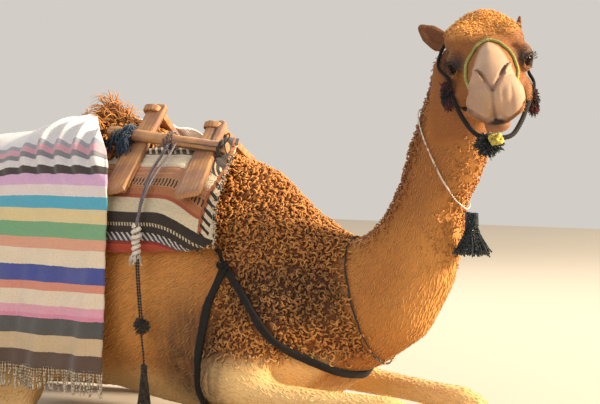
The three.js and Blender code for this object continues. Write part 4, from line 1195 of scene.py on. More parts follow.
def hide_colour(tree, mark, base, mottle, colours):
    """The skin under the coat: painted shade under the wool, bare and mottled on the nose, painted shade in
    its creases and round the eyes.
    """
    # painted shade on the skin under the wool
    woolly = add(tree, "ShaderNodeMapRange", {"Value": mark["wool"], "To Min": 0.1, "To Max": 1.0})
    shaded = {"A": base, "B": "#967a64", "Factor": woolly}
    base = add(tree, "ShaderNodeMix", shaded, data_type="RGBA", blend_type="MULTIPLY")
    place = add(tree, "ShaderNodeTexCoord").outputs["Object"]
    fine = add(tree, "ShaderNodeTexNoise", {"Vector": place, "Scale": 160.0, "Detail": 3.0})
    soft = add(tree, "ShaderNodeMapRange", {"Value": mottle, "To Min": 0.1, "To Max": 0.9})
    nose = {"A": colours.nose_dark, "B": colours.nose_light, "Factor": soft}
    nose = add(tree, "ShaderNodeMix", nose, data_type="RGBA")
    freckled = add(tree, "ShaderNodeMapRange", {"Value": fine, "To Max": 0.35})
    nose = add(tree, "ShaderNodeMix", {"A": nose, "B": "#8f6b55", "Factor": freckled}, data_type="RGBA")
    bare = add(tree, "ShaderNodeMix", {"A": "#553421", "B": "#825a40", "Factor": mottle}, data_type="RGBA")
    only_bare = {0: mark["bare"], 1: mark["nose"]}
    only_bare = add(tree, "ShaderNodeMath", only_bare, operation="SUBTRACT", use_clamp=True)
    for value, least, colour, most in (
        (mark["nose"], 0.0, nose, 1.0),
        (only_bare, 0.0, bare, 0.75),
        # painted shade in the creases, the nostrils, the mouth and round the eyes
        (mark["crevice"], 0.0, "#38221b", 0.9),
        (mark["crevice"], 0.8, "#1c0f0a", 0.75),
    ):
        share = add(tree, "ShaderNodeMapRange", {"Value": value, "From Min": least, "To Max": most})
        base = add(tree, "ShaderNodeMix", {"A": base, "B": colour, "Factor": share}, data_type="RGBA")
    return base


def yarn_material(name, light, dark, fleck=None, scale=260.0, rough=0.9, sheen=0.3):
    """Spun wool or cord: fibres that catch a soft edge light, with painted shade between the strands."""
    made, tree, shader = material(name)
    place = add(tree, "ShaderNodeTexCoord").outputs["Object"]
    spun = {"Vector": place, "Scale": scale, "Detail": 4.0, "Roughness": 0.7}
    fibre = add(tree, "ShaderNodeTexNoise", spun)
    # painted shade where the fibre relief is low, between the strands
    spread = add(tree, "ShaderNodeMapRange", {"Value": fibre, "From Min": 0.3, "From Max": 0.7})
    colour = add(tree, "ShaderNodeMix", {"A": dark, "B": light, "Factor": spread}, data_type="RGBA")
    if fleck:
        patch = add(tree, "ShaderNodeTexNoise", {"Vector": place, "Scale": 38.0, "Detail": 2.0})
        share = add(tree, "ShaderNodeMapRange", {"Value": patch, "From Min": 0.48, "From Max": 0.6})
        colour = add(tree, "ShaderNodeMix", {"A": colour, "B": fleck, "Factor": share}, data_type="RGBA")
    bump = add(tree, "ShaderNodeBump", {"Strength": 0.7, "Distance": 0.0006, "Height": fibre})
    feed(shader, {"Base Color": colour, "Normal": bump, "Roughness": rough})
    feed(shader, {"Sheen Weight": sheen, "Sheen Roughness": 0.4})
    return made


def wood_material(colours):
    """Hewn acacia, rubbed dark by rope and hands: long grain, paler where it is worn, black in its splits."""
    made, tree, shader = material("Acacia wood, hewn and rubbed")
    local = add(tree, "ShaderNodeAttribute", attribute_name="timber").outputs["Vector"]
    split = add(tree, "ShaderNodeAttribute", attribute_name="split").outputs["Fac"]
    long = add(tree, "ShaderNodeMapping", {"Vector": local, "Scale": (9, 130, 130)})
    fibres = {"Vector": long, "Scale": 1.0, "Detail": 6.0, "Roughness": 0.7}
    grain = add(tree, "ShaderNodeTexNoise", fibres)
    rings = {"Vector": long, "Scale": 0.24, "Distortion": 7.0, "Detail": 3.0}
    rings = add(tree, "ShaderNodeTexWave", rings, wave_type="RINGS", rings_direction="X").outputs["Fac"]
    stain = add(tree, "ShaderNodeTexNoise", {"Vector": local, "Scale": 14.0, "Detail": 3.0})
    colour = {"A": colours.wood_dark, "B": colours.wood_light, "Factor": grain}
    colour = add(tree, "ShaderNodeMix", colour, data_type="RGBA")
    for value, low, high, tint, most in (
        (rings, 0.0, 1.0, "#84502f", 0.5),
        (stain, 0.42, 0.62, "#8a6455", 0.7),
        (split, 0.0, 1.0, "#1c110c", 1.0),
    ):
        span = {"Value": value, "From Min": low, "From Max": high, "To Max": most}
        share = add(tree, "ShaderNodeMapRange", span)
        colour = add(tree, "ShaderNodeMix", {"A": colour, "B": tint, "Factor": share}, data_type="RGBA")
    rough = add(tree, "ShaderNodeMapRange", {"Value": grain, "To Min": 0.42, "To Max": 0.7})
    bump = add(tree, "ShaderNodeBump", {"Strength": 0.6, "Distance": 0.0012, "Height": grain})
    feed(shader, {"Base Color": colour, "Roughness": rough, "Normal": bump})
    return made


def striped(tree, value, bands):
    """A colour ramp over a value in metres: bands are (upper limit, colour), from the lowest up."""
    low, high = bands[0][0], bands[-1][0]
    share = add(tree, "ShaderNodeMapRange", {"Value": value, "From Min": low, "From Max": high})
    ramp = add(tree, "ShaderNodeValToRGB", {"Fac": share})
    ramp.color_ramp.interpolation = "CONSTANT"
    elements = ramp.color_ramp.elements
    for index, (lower, upper) in enumerate(zip(bands[:-1], bands[1:])):
        position = (lower[0] - low) / (high - low)
        element = elements[index] if index < 2 else elements.new(position)
        element.position, element.color = position, linear(upper[1])
    return ramp


# heights of the pad's stripes above the floor, and their colours, from the hem up
PAD_STRIPES = [
    (0.560, ""), (0.602, "#c2452a"), (0.612, "#8f2a1c"), (0.626, "#30405a"), (0.643, "#17161a"),
    (0.657, "#1c1a1c"), (0.668, "#d9cba6"), (0.682, "#1a181b"), (0.700, "#16151a"), (0.741, "#eadcba"),
    (0.752, "#b4583a"), (0.776, "#bf7a4c"), (0.804, "#c99468"), (0.834, "#c98d68"), (0.868, "#f0e4c6"),
    (0.905, "#231c1a"), (1.0, "#2a211e"),
]
# heights on the near side of the blanket, and the colours of its stripes, from the hem up
BLANKET_STRIPES = [
    (0.10, ""), (0.262, "#4d322b"), (0.314, "#d5bd96"), (0.366, "#42484c"), (0.378, "#e58fb0"),
    (0.404, "#e9a9c0"), (0.449, "#efe0c8"), (0.474, "#e0917c"), (0.526, "#2a44a0"), (0.578, "#efe0c6"),
    (0.614, "#e6a88c"), (0.662, "#74b083"), (0.704, "#e8d5a0"), (0.742, "#46b2d2"), (0.778, "#ece1e0"),
    (0.812, "#dfb3dd"), (0.838, "#1f1c22"), (0.868, "#e6e2e4"), (0.888, "#80858e"), (0.915, "#dda6b6"),
    (0.935, "#9fa6b4"), (1.2, "#e8e8ec"),
]
# rows of ticks on the pad: colour, lowest and highest, spacing, slant, and how much of the spacing is filled
PAD_TICKS = [
    ("#1d1614", 0.779, 0.801, 0.0125, 0.0, 0.42),
    ("#1a181b", 0.657, 0.668, 0.0105, 0.0, 0.5),
    ("#d8d5cf", 0.614, 0.638, 0.019, 0.9, 0.36),
    ("#e6d6b4", 0.872, 0.893, 0.024, 1.6, 0.3),
]


def weave(tree, shader, spacing, depth):
    """Crossed threads at a real spacing in metres, and the slubs and the slow unevenness of the yarn."""
    place = add(tree, "ShaderNodeTexCoord").outputs["Object"]
    turn = 2 * math.pi / spacing
    threads = []
    for way in ((turn, 0, 0), (0, 0.6 * turn / 1.3, turn / 1.3)):  # the weft lies 1.3 times as far apart
        phase = add(tree, "ShaderNodeVectorMath", {0: place, 1: way}, operation="DOT_PRODUCT")
        threads.append(add(tree, "ShaderNodeMath", {0: phase}, operation="SINE"))
    crossed = add(tree, "ShaderNodeMath", dict(enumerate(threads)), operation="ADD")
    slubs = add(tree, "ShaderNodeTexNoise", {"Vector": place, "Scale": 190.0, "Detail": 4.0})
    height = add(tree, "ShaderNodeMath", {0: crossed, 1: 0.25, 2: slubs}, operation="MULTIPLY_ADD")
    bump = add(tree, "ShaderNodeBump", {"Strength": 0.8, "Distance": depth, "Height": height})
    feed(shader, {"Normal": bump})
    return place, slubs


def faded(tree, colour, slow, dust, most_dust, slubs, shade, most_shade):
    """A cloth's colour under dust that comes and goes, with painted shade between its slubs."""
    share = add(tree, "ShaderNodeMapRange", {"Value": slow, "To Max": most_dust})
    colour = add(tree, "ShaderNodeMix", {"A": colour, "B": dust, "Factor": share}, data_type="RGBA")
    # painted shade where the slubs are low
    share = add(tree, "ShaderNodeMapRange", {"Value": slubs, "To Min": most_shade, "To Max": 0.0})
    shaded = {"A": colour, "B": shade, "Factor": share}
    return add(tree, "ShaderNodeMix", shaded, data_type="RGBA", blend_type="MULTIPLY")


def blanket_material():
    """Hand-loomed wool rug cloth: stripes of dyed weft, slubby, faded and dusty."""
    made, tree, shader = material("Wool blanket, hand-loomed in stripes")
    place, slubs = weave(tree, shader, 0.0052, 0.0012)
    height = add(tree, "ShaderNodeAttribute", attribute_name="from_hem").outputs["Fac"]
    slow = add(tree, "ShaderNodeTexNoise", {"Vector": place, "Scale": 6.0, "Detail": 3.0})
    # the stripes waver and fray
    for value, middle, reach in ((slow, BLANKET["hem"], 0.006), (slubs, 0.0, 0.002)):
        shift = {"Value": value, "To Min": middle - reach, "To Max": middle + reach}
        shift = add(tree, "ShaderNodeMapRange", shift)
        height = add(tree, "ShaderNodeMath", {0: height, 1: shift}, operation="ADD")
    colour = striped(tree, height, BLANKET_STRIPES)
    colour = faded(tree, colour, slow, "#d8cab4", 0.16, slubs, "#a59585", 0.4)
    feed(shader, {"Base Color": colour, "Roughness": 0.92, "Sheen Weight": 0.25})
    return made


def pad_material():
    """Flat-woven goat hair and wool over straw: plain stripes, rows of ticks, a corded red hem."""
    made, tree, shader = material("Saddle pad cloth, flat-woven wool")
    place, slubs = weave(tree, shader, 0.0065, 0.0016)
    slow = add(tree, "ShaderNodeTexNoise", {"Vector": place, "Scale": 8.0, "Detail": 3.0})
    waver = add(tree, "ShaderNodeMapRange", {"Value": slow, "To Min": -0.005, "To Max": 0.005})
    height, edge = (
        add(tree, "ShaderNodeAttribute", attribute_name=key).outputs["Fac"]
        for key in ("height", "from_front")
    )
    height = add(tree, "ShaderNodeMath", {0: height, 1: waver}, operation="ADD")
    colour = striped(tree, height, PAD_STRIPES)
    patterns = []
    forward = add(tree, "ShaderNodeSeparateXYZ", {"Vector": place}).outputs["X"]
    for tint, low, high, period, slant, filled in PAD_TICKS:
        phase = add(tree, "ShaderNodeMath", {0: height, 1: slant, 2: forward}, operation="MULTIPLY_ADD")
        angle = add(tree, "ShaderNodeMath", {0: phase, 1: 2 * math.pi / period}, operation="MULTIPLY")
        wave = add(tree, "ShaderNodeMath", {0: angle}, operation="SINE")
        tick = add(tree, "ShaderNodeMath", {0: wave, 1: 1 - 2 * filled}, operation="GREATER_THAN")
        patterns.append((tint, height, low, high, tick))
    # the front border: plain bands, and teeth that run down it
    above = add(tree, "ShaderNodeMath", {0: height, 1: 0.70}, operation="GREATER_THAN")
    turn = 2 * math.pi / 0.024
    slanting = add(tree, "ShaderNodeVectorMath", {0: place, 1: (turn, 0, turn)}, operation="DOT_PRODUCT")
    wave = add(tree, "ShaderNodeMath", {0: slanting}, operation="SINE")
    tooth = add(tree, "ShaderNodeMath", {0: wave, 1: 0.15}, operation="GREATER_THAN")
    teeth = add(tree, "ShaderNodeMath", {0: tooth, 1: above}, operation="MULTIPLY")
    patterns += [
        ("#e6d8b8", edge, -0.05, 0.030, above),
        ("#a8643c", edge, 0.030, 0.042, above),
        ("#201a1a", edge, 0.008, 0.036, teeth),
    ]
    for tint, value, low, high, pattern in patterns:
        span = {0: value, 1: (low + high) / 2, 2: (high - low) / 2}
        within = add(tree, "ShaderNodeMath", span, operation="COMPARE")
        share = add(tree, "ShaderNodeMath", {0: within, 1: pattern}, operation="MULTIPLY")
        colour = add(tree, "ShaderNodeMix", {"A": colour, "B": tint, "Factor": share}, data_type="RGBA")
    colour = faded(tree, colour, slow, "#9a7a58", 0.18, slubs, "#8a7868", 0.6)
    feed(shader, {"Base Color": colour, "Roughness": 0.93, "Sheen Weight": 0.2})
    return made


def eye_material():
    """A camel's eye: near-black brown iris, a long pupil, wet and glossy."""
    made, tree, shader = material("Camel eye, wet")
    colour = "#1c0d06"
    for key, low, high, tint in (("from_iris", 0.62, 0.74, "#2a1810"), ("from_pupil", 0.26, 0.22, "#040303")):
        value = add(tree, "ShaderNodeAttribute", attribute_name=key).outputs["Fac"]
        share = add(tree, "ShaderNodeMapRange", {"Value": value, "From Min": low, "From Max": high})
        colour = add(tree, "ShaderNodeMix", {"A": colour, "B": tint, "Factor": share}, data_type="RGBA")
    feed(shader, {"Base Color": colour, "Roughness": 0.08, "IOR": 1.18, "Specular IOR Level": 0.35})
    feed(shader, {"Coat Weight": 0.1, "Coat Roughness": 0.03})
    return made


FINISHES = {}


def finishes():
    """Every finish of the gear and the eyes, made once, in the panel's colours."""
    if FINISHES:
        return FINISHES
    colours = bpy.context.scene.camel
    FINISHES.update({
        "grey": yarn_material("Grey hemp rope, laid in three strands", colours.rope, "#4c444c"),
        "white": yarn_material("White cotton cord, twisted", "#efe9dc", "#b9ad9a"),
        "cream": yarn_material("Undyed wool yarn, twisted", "#ece0c6", "#a08d70"),
        "dark": yarn_material("Dark goat-hair cord, plied", "#4a4038", "#191410"),
        "olive": yarn_material("Olive-brown wool yarn, spun", "#5a4c36", "#231c14", "#1c1a16"),
        "navy": yarn_material("Navy wool yarn, spun", "#22323c", "#070b10", "#16261f"),
        "navy_bright": yarn_material("Blue-black wool yarn, spun", "#2c4a66", "#0a121c"),
        "pom": yarn_material("Dark red and black wool yarn, cut", "#6a161c", "#1c0709", "#0c0e14"),
        "green": yarn_material("Yellow-green hemp rope, laid", colours.noseband, "#6f7440"),
        "yellow": yarn_material("Yellow hemp rope, laid", "#dccb58", "#948438"),
        "felt": yarn_material(
            "Black goat-hair webbing, felted", colours.straps, "#060505", scale=120.0, sheen=0.04
        ),
        "nail": yarn_material("Toenail, horn", "#4a3a2e", "#2c211a", scale=60.0, rough=0.5),
        "lash": yarn_material("Camel lash, coarse", "#2c1a10", "#140b06"),
        "wood": wood_material(colours),
        "blanket": blanket_material(),
        "pad": pad_material(),
        "eye": eye_material(),
    })
    return FINISHES


# ---------------------------------------------------------------- cords, yarn and straps
def rope_tree():
    """The tree that lays cord along paths: a lobed section that turns as it goes, closed at its ends."""
    sizes = dict.fromkeys(("Radius", "Turn length", "Strands", "Lobe depth", "Taper"), "Float")
    tree, given = new_tree("Lay rope", "Paths", sizes | {"Sides": "Int", "Finish": "Material"}, "Rope")
    curves = add(tree, "GeometryNodeMeshToCurve", {"Mesh": given["Paths"]})
    parameter = add(tree, "GeometryNodeSplineParameter").outputs
    turns = {0: parameter["Length"], 1: given["Turn length"]}
    turns = add(tree, "ShaderNodeMath", turns, operation="DIVIDE")
    angle = add(tree, "ShaderNodeMath", {0: turns, 1: 2 * math.pi}, operation="MULTIPLY")
    twisted = add(tree, "GeometryNodeSetCurveTilt", {"Curve": curves, "Tilt": angle})
    far = add(tree, "ShaderNodeMath", {0: parameter["Factor"], 1: 3.0}, operation="POWER")
    lost = add(tree, "ShaderNodeMath", {0: far, 1: given["Taper"]}, operation="MULTIPLY")
    left = add(tree, "ShaderNodeMath", {0: 1.0, 1: lost}, operation="SUBTRACT")
    sized = add(tree, "GeometryNodeSetCurveRadius", {"Curve": twisted, "Radius": left})
    # the section: a ring that swells once for each strand
    ring = {"Resolution": given["Sides"], "Radius": given["Radius"]}
    ring = add(tree, "GeometryNodeCurvePrimitiveCircle", ring, mode="RADIUS")
    at = add(tree, "GeometryNodeInputPosition")
    parts = add(tree, "ShaderNodeSeparateXYZ", {"Vector": at}).outputs
    around = add(tree, "ShaderNodeMath", {0: parts["Y"], 1: parts["X"]}, operation="ARCTAN2")
    lobes = add(tree, "ShaderNodeMath", {0: around, 1: given["Strands"]}, operation="MULTIPLY")
    wave = add(tree, "ShaderNodeMath", {0: lobes}, operation="COSINE")
    swell = add(tree, "ShaderNodeMath", {0: wave, 1: given["Lobe depth"], 2: 1.0}, operation="MULTIPLY_ADD")
    swollen = add(tree, "ShaderNodeVectorMath", {0: at, "Scale": swell}, operation="SCALE")
    lobed = add(tree, "GeometryNodeSetPosition", {"Geometry": ring, "Position": swollen})
    swept = {"Curve": sized, "Profile Curve": lobed, "Fill Caps": True}
    swept = add(tree, "GeometryNodeCurveToMesh", swept)
    real = add(tree, "GeometryNodeRealizeInstances", {"Geometry": swept})
    painted = add(tree, "GeometryNodeSetMaterial", {"Geometry": real, "Material": given["Finish"]})
    add(tree, "NodeGroupOutput", {"Rope": painted})
    return tree


def face_outwards(piece):
    """Recalculates which way a closed piece's faces point."""
    return reworked(piece, lambda mesh: bmesh.ops.recalc_face_normals(mesh, faces=mesh.faces))


def lay_rope(
    name, lines, radius, finish_material, pitch=0.02, strands=3, lobe=0.16, taper=0.0, sides=9, closed=False
):
    """Cord or yarn along one or more lines of points."""
    points, edges = [], []
    for line in lines:
        start = len(points)
        points.extend(np.asarray(line).tolist())
        edges += [(k, k + 1) for k in range(start, len(points) - 1)]
        if closed:
            edges.append((len(points) - 1, start))
    mesh = bpy.data.meshes.new(name)
    mesh.from_pydata(points, edges, [])
    piece = link(bpy.data.objects.new(name, mesh))
    values = {
        "Radius": radius,
        "Turn length": pitch,
        "Strands": float(strands),
        "Lobe depth": lobe,
        "Taper": taper,
        "Sides": sides,
        "Finish": finish_material,
    }
    grow(piece, bpy.data.node_groups.get("Lay rope") or rope_tree(), values)
    face_outwards(piece)
    piece.data.shade_smooth()
    return piece


def eased(line, times):
    """A closed line with its corners eased."""
    for _ in range(times):
        line = 0.5 * line + 0.25 * np.roll(line, 1, 0) + 0.25 * np.roll(line, -1, 0)
    return line


def on_skin(point):
    """The nearest place on the skin, and the way out of it."""
    _, place, normal, _ = bpy.data.objects["skin"].closest_point_on_mesh(Vector(point))
    return np.array(place), np.array(normal)


def ring_on(names, at, facing, offset, count=140, step=0.006, start=90.0):
    """The line round a body where a plane cuts it, and the ways out from it, found from outside inwards."""
    low = np.min([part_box(name)[0] for name in names], axis=0) - 0.03
    high = np.max([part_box(name)[1] for name in names], axis=0) + 0.03
    field = Field(low, high, step, band=4)
    values = blurred(field.whole(field.of_nodes(names)), 1.0)
    normal = unit(np.asarray(facing, float))
    side = unit(np.cross(normal, [0, 0, 1.0]))
    up = np.cross(side, normal)
    angles = math.radians(start) + np.linspace(0, 2 * math.pi, count, endpoint=False)
    ways = np.cos(angles)[:, None] * side + np.sin(angles)[:, None] * up
    reach = np.arange(0.55, 0.0, -0.003)
    line = []
    for way in ways:
        ray = np.asarray(at) + reach[:, None] * way
        inside_box = np.all((ray > low + step) & (ray < high - step), axis=1)
        hit = np.nonzero((field.sample(values, ray) < offset) & inside_box)[0]
        line.append(ray[hit[0]] if len(hit) else np.full(3, np.nan))
    line = np.array(line)
    line = eased(line[~np.isnan(line[:, 0])], 3)
    tangent = unit(np.roll(line, -1, 0) - np.roll(line, 1, 0))
    out = np.cross(tangent, normal)
    return line, out * np.sign(np.sum(out * (line - np.asarray(at)), axis=1, keepdims=True))


def strap_along(name, line, outward, width, thick, finish_material, closed=False, lumps=0.0, seed=1):
    """A soft flat strap along a line: a rounded section, a little uneven."""
    rng = np.random.default_rng(seed)
    count, sides = len(line), 14
    if closed:
        tangent = unit(np.roll(line, -1, 0) - np.roll(line, 1, 0))
    else:
        tangent = unit(np.gradient(line, axis=0))
    across = unit(np.cross(tangent, outward))
    out = unit(np.cross(across, tangent))
    out *= np.sign(np.sum(out * outward, axis=1, keepdims=True))
    angle = np.linspace(0, 2 * math.pi, sides, endpoint=False)
    c, s = np.cos(angle), np.sin(angle)
    power = 0.62  # between a round section and a square one
    section_a, section_o = np.sign(c) * np.abs(c) ** power, np.sign(s) * np.abs(s) ** power
    marks = np.arange(0, count, 4)
    uneven = 1 + lumps * np.interp(np.arange(count), marks, rng.normal(size=len(marks)))
    points = (
        line[:, None]
        + across[:, None] * (section_a[None, :, None] * width / 2 * uneven[:, None, None])
        + out[:, None] * (section_o[None, :, None] * thick / 2)
    )
    faces = []
    for k in range(count if closed else count - 1):
        n = (k + 1) % count
        for i in range(sides):
            j = (i + 1) % sides
            faces.append([k * sides + i, k * sides + j, n * sides + j, n * sides + i])
    if not closed:
        faces.append(list(range(sides))[::-1])
        faces.append(list(range((count - 1) * sides, count * sides)))
    return face_outwards(new_piece(name, points.reshape(-1, 3), faces, finish_material))


def yarn_ball(centre, radii, count, seed, axes=np.eye(3), curl=0.16, droop=0.0, core=0.25, steps=5):
    """Lines of yarn from the core of a pom to its rim, in metres."""
    rng = np.random.default_rng(seed)
    k = np.arange(count) + 0.5
    polar, turn = np.arccos(1 - 2 * k / count), math.pi * (1 + 5**0.5) * k
    way = np.stack([np.cos(turn) * np.sin(polar), np.sin(turn) * np.sin(polar), np.cos(polar)], 1)
    way = unit(way + rng.normal(0, 0.12, way.shape))
    t = np.linspace(core, 1.0, steps)[None, :, None]
    sway = rng.normal(0, curl, (count, 1, 3)) * (t - core) ** 1.5
    length = rng.uniform(0.88, 1.04, (count, 1, 1))
    lines = (way[:, None] * t * length + sway * 0.8) * np.asarray(radii)
    lines = lines @ np.asarray(axes).T
    lines[..., 2] -= droop * (t[..., 0] - core) ** 2
    return lines + np.asarray(centre)


def yarn_skirt(top, length, neck, spread, count, seed, steps=8, sway=0.004, curve=1.6):
    """Lines of yarn that hang from a bound neck and flare into a skirt."""
    rng = np.random.default_rng(seed)
    turn = math.pi * (1 + 5**0.5) * np.arange(count)
    share = np.sqrt((np.arange(count) + 0.5) / count)
    t = np.linspace(0, 1, steps)
    lines = []
    for a, r in zip(turn, share):
        radius = neck * r + (spread - neck) * r * t**curve
        wobble = rng.normal(0, sway, 2)[None] * (t**1.4)[:, None]
        wobble += rng.normal(0, sway * 0.35, (steps, 2)) * t[:, None]
        drop = length * t * rng.uniform(0.86, 1.0)
        away = np.stack([radius * math.cos(a) + wobble[:, 0], radius * math.sin(a) + wobble[:, 1], -drop], 1)
        lines.append(np.asarray(top) + away)
    return lines


def coil(centre, axis_line, radius, turns, steps=14, wobble=0.0, seed=1):
    """A line that winds round an axis."""
    rng = np.random.default_rng(seed)
    axis_line = np.asarray(axis_line, float)
    t = np.linspace(0, 1, int(turns * steps))
    if len(axis_line) > 2:
        spine = spline(axis_line, len(t))
    else:
        spine = axis_line[0] + t[:, None] * (axis_line[-1] - axis_line[0])
    tangent = unit(np.gradient(spine, axis=0))
    side = unit(np.cross(tangent, [0.31, 0.2, 0.93] if abs(tangent[0][2]) < 0.8 else [1.0, 0.1, 0.0]))
    up = np.cross(tangent, side)
    angle = 2 * math.pi * turns * t
    radius = radius * (1 + wobble * np.interp(t, np.linspace(0, 1, 9), rng.normal(size=9)))[:, None]
    return np.asarray(centre) + spine + radius * (np.cos(angle)[:, None] * side + np.sin(angle)[:, None] * up)


# ---------------------------------------------------------------- halter, breast gear and neck cords
NOSEBAND = ((66, 0, 0), (0.95, 0, 0.31))
HEADSTALL = ((-100, 0, 20), (0.83, 0, 0.56))
JAW_STRAP = [
    (-24, -112, -82), (20, -104, -108), (62, -86, -152), (100, -61, -189), (122, -30, -206),
    (124, 4, -210), (102, 37, -204), (62, 64, -172), (20, 84, -136), (-20, 96, -116),
]
CHEEK_POMS = {"right": (-26, -124, -75), "left": (-26, 102, -112)}
CHIN_WOOL = (112, -28, -224)
CHIN_KNOT = (152, -8, -211)
NECK_STRING = ((0.666, -0.099, 0.807), (0.91, 0.07, 0.41))
NECK_CORD = ((0.384, 0.0, 0.455), (0.96, 0.0, 0.28))
GIRTH = ((0.02, 0.0, 0.52), (0.96, 0.0, -0.28))
BREAST_SIDE = ((0.232, 0.0, 0.290), (0.8, 0.0, 0.6))
BREAST_FRONT = ((0.232, 0.0, 0.290), (0.502, 0.0, 0.865))
STRAP_TOP = 0.548  # where the girth and the breast strap are knotted, below the pad
TASSEL_TOP = (0.726, -0.036, 0.716)
HANGING_ROPE = [
    (-0.232, -0.180, 0.902), (-0.231, -0.204, 0.880), (-0.229, -0.234, 0.856), (-0.226, -0.274, 0.822),
    (-0.221, -0.312, 0.778), (-0.215, -0.344, 0.730), (-0.209, -0.368, 0.682), (-0.207, -0.376, 0.655),
]
HANGING_STRING = [
    (-0.205, -0.382, 0.578), (-0.205, -0.381, 0.540), (-0.206, -0.374, 0.480), (-0.208, -0.364, 0.420),
    (-0.208, -0.357, 0.365), (-0.206, -0.352, 0.320), (-0.203, -0.348, 0.270), (-0.202, -0.347, 0.228),
]
ROPE_KNOT = (-0.206, -0.380, 0.617)
STRING_POM = (-0.202, -0.358, 0.360)
STRING_TASSEL = (-0.202, -0.347, 0.244)


def length_of(points):
    return float(np.linalg.norm(np.diff(np.asarray(points), axis=0), axis=1).sum())


def head_plane(place):
    """A plane given in the head's frame, in the world's."""
    at, facing = place
    return from_head(np.array(at, float)), HEAD_AXES @ np.array(facing, float)


def make_hanging_cords(finishes):
    """What hangs from the near pole: a grey rope with a white knot, a dark string with a pom and a tassel."""
    path = spline(HANGING_ROPE, 40)
    rope = lay_rope("hanging_rope" + MADE, [path], 0.0056, finishes["grey"], pitch=0.022)
    string_path = spline(HANGING_STRING, 40)
    string = lay_rope("hanging_string" + MADE, [string_path], 0.0042, finishes["dark"], pitch=0.014)
    x, y, z = ROPE_KNOT
    spine = [(0, 0, 0.046), (0.003, -0.002, 0.02), (-0.002, 0.001, -0.01), (0.001, 0, -0.046)]
    lines = [coil((x, y, z), spine, 0.0085, 5.5, wobble=0.18, seed=4)]
    knot = lay_rope("knot_wraps", lines, 0.0066, finishes["white"], pitch=0.02, lobe=0.2)
    rng = np.random.default_rng(7)
    ends = []
    for _ in range(70):
        a = rng.uniform(0, 2 * math.pi)
        root = np.array([x + 0.006 * math.cos(a), y + 0.006 * math.sin(a), z - 0.03])
        t = np.linspace(0, 1, 5)[:, None]
        way = np.array([0.012 * math.cos(a), 0.012 * math.sin(a) - 0.002, -rng.uniform(0.02, 0.045)])
        ends.append(root + way * t + rng.normal(0, 0.002, (5, 3)) * t)
    frayed = lay_rope("knot_ends", ends, 0.0011, finishes["white"], pitch=0.01, sides=5, taper=0.5)
    knot = join_pieces("rope_knot" + MADE, [knot, frayed])
    pom_lines = yarn_ball(STRING_POM, (0.025, 0.023, 0.025), 420, 11, curl=0.24)
    pom = lay_rope("string_pom" + MADE, pom_lines, 0.0013, finishes["olive"], pitch=0.01, sides=4, taper=0.4)
    tx, ty, tz = STRING_TASSEL
    skirt = lay_rope(
        "tassel_skirt",
        yarn_skirt((tx, ty, tz - 0.018), 0.108, 0.008, 0.021, 90, 12, sway=0.0012, curve=1.0),
        0.0013, finishes["olive"], pitch=0.012, sides=5,
    )
    binding = coil((tx, ty, tz), [(0, 0, -0.002), (0, 0, -0.026)], 0.0078, 5.5, seed=3)
    head = lay_rope("tassel_head", [binding], 0.0026, finishes["dark"], pitch=0.01)
    strand = [(p[0] + 0.0088, p[1] - 0.0012, p[2]) for p in string_path if p[2] > STRING_POM[2]]
    double = lay_rope("string_strand", [strand], 0.0042, finishes["dark"], pitch=0.014)
    tassel = join_pieces("string_tassel" + MADE, [skirt, head, double])
    stand_for_nodes(
        {"grey_rope": [rope], "dark_cord": [string], "white_yarn": [knot], "dark_yarn": [pom, tassel]}
    )


def laid_on_nose(line):
    """The noseband's line drawn in over the narrow bridge of the nose and laid on the skin."""
    h = to_head(line)
    share = np.interp(h[:, 2], [-62, -8, 26, 52], [1.0, 0.95, 0.74, 0.64])
    h[:, 1] = h[:, 1] * share + np.interp(h[:, 2], [-110, -40, 50], [0, 8, 8])
    found = [place + normal * 0.0048 for place, normal in map(on_skin, from_head(h))]
    return eased(np.array(found), 4)


def lifted_off_skin(line, lift):
    """A closed line whose points in the skin, or just above it, are brought out to a height above it."""
    found = np.array(line, float)
    for index, point in enumerate(line):
        place, normal = on_skin(point)
        if -0.035 < (point - place) @ normal < lift:
            found[index] = place + normal * lift
    return eased(found, 6)


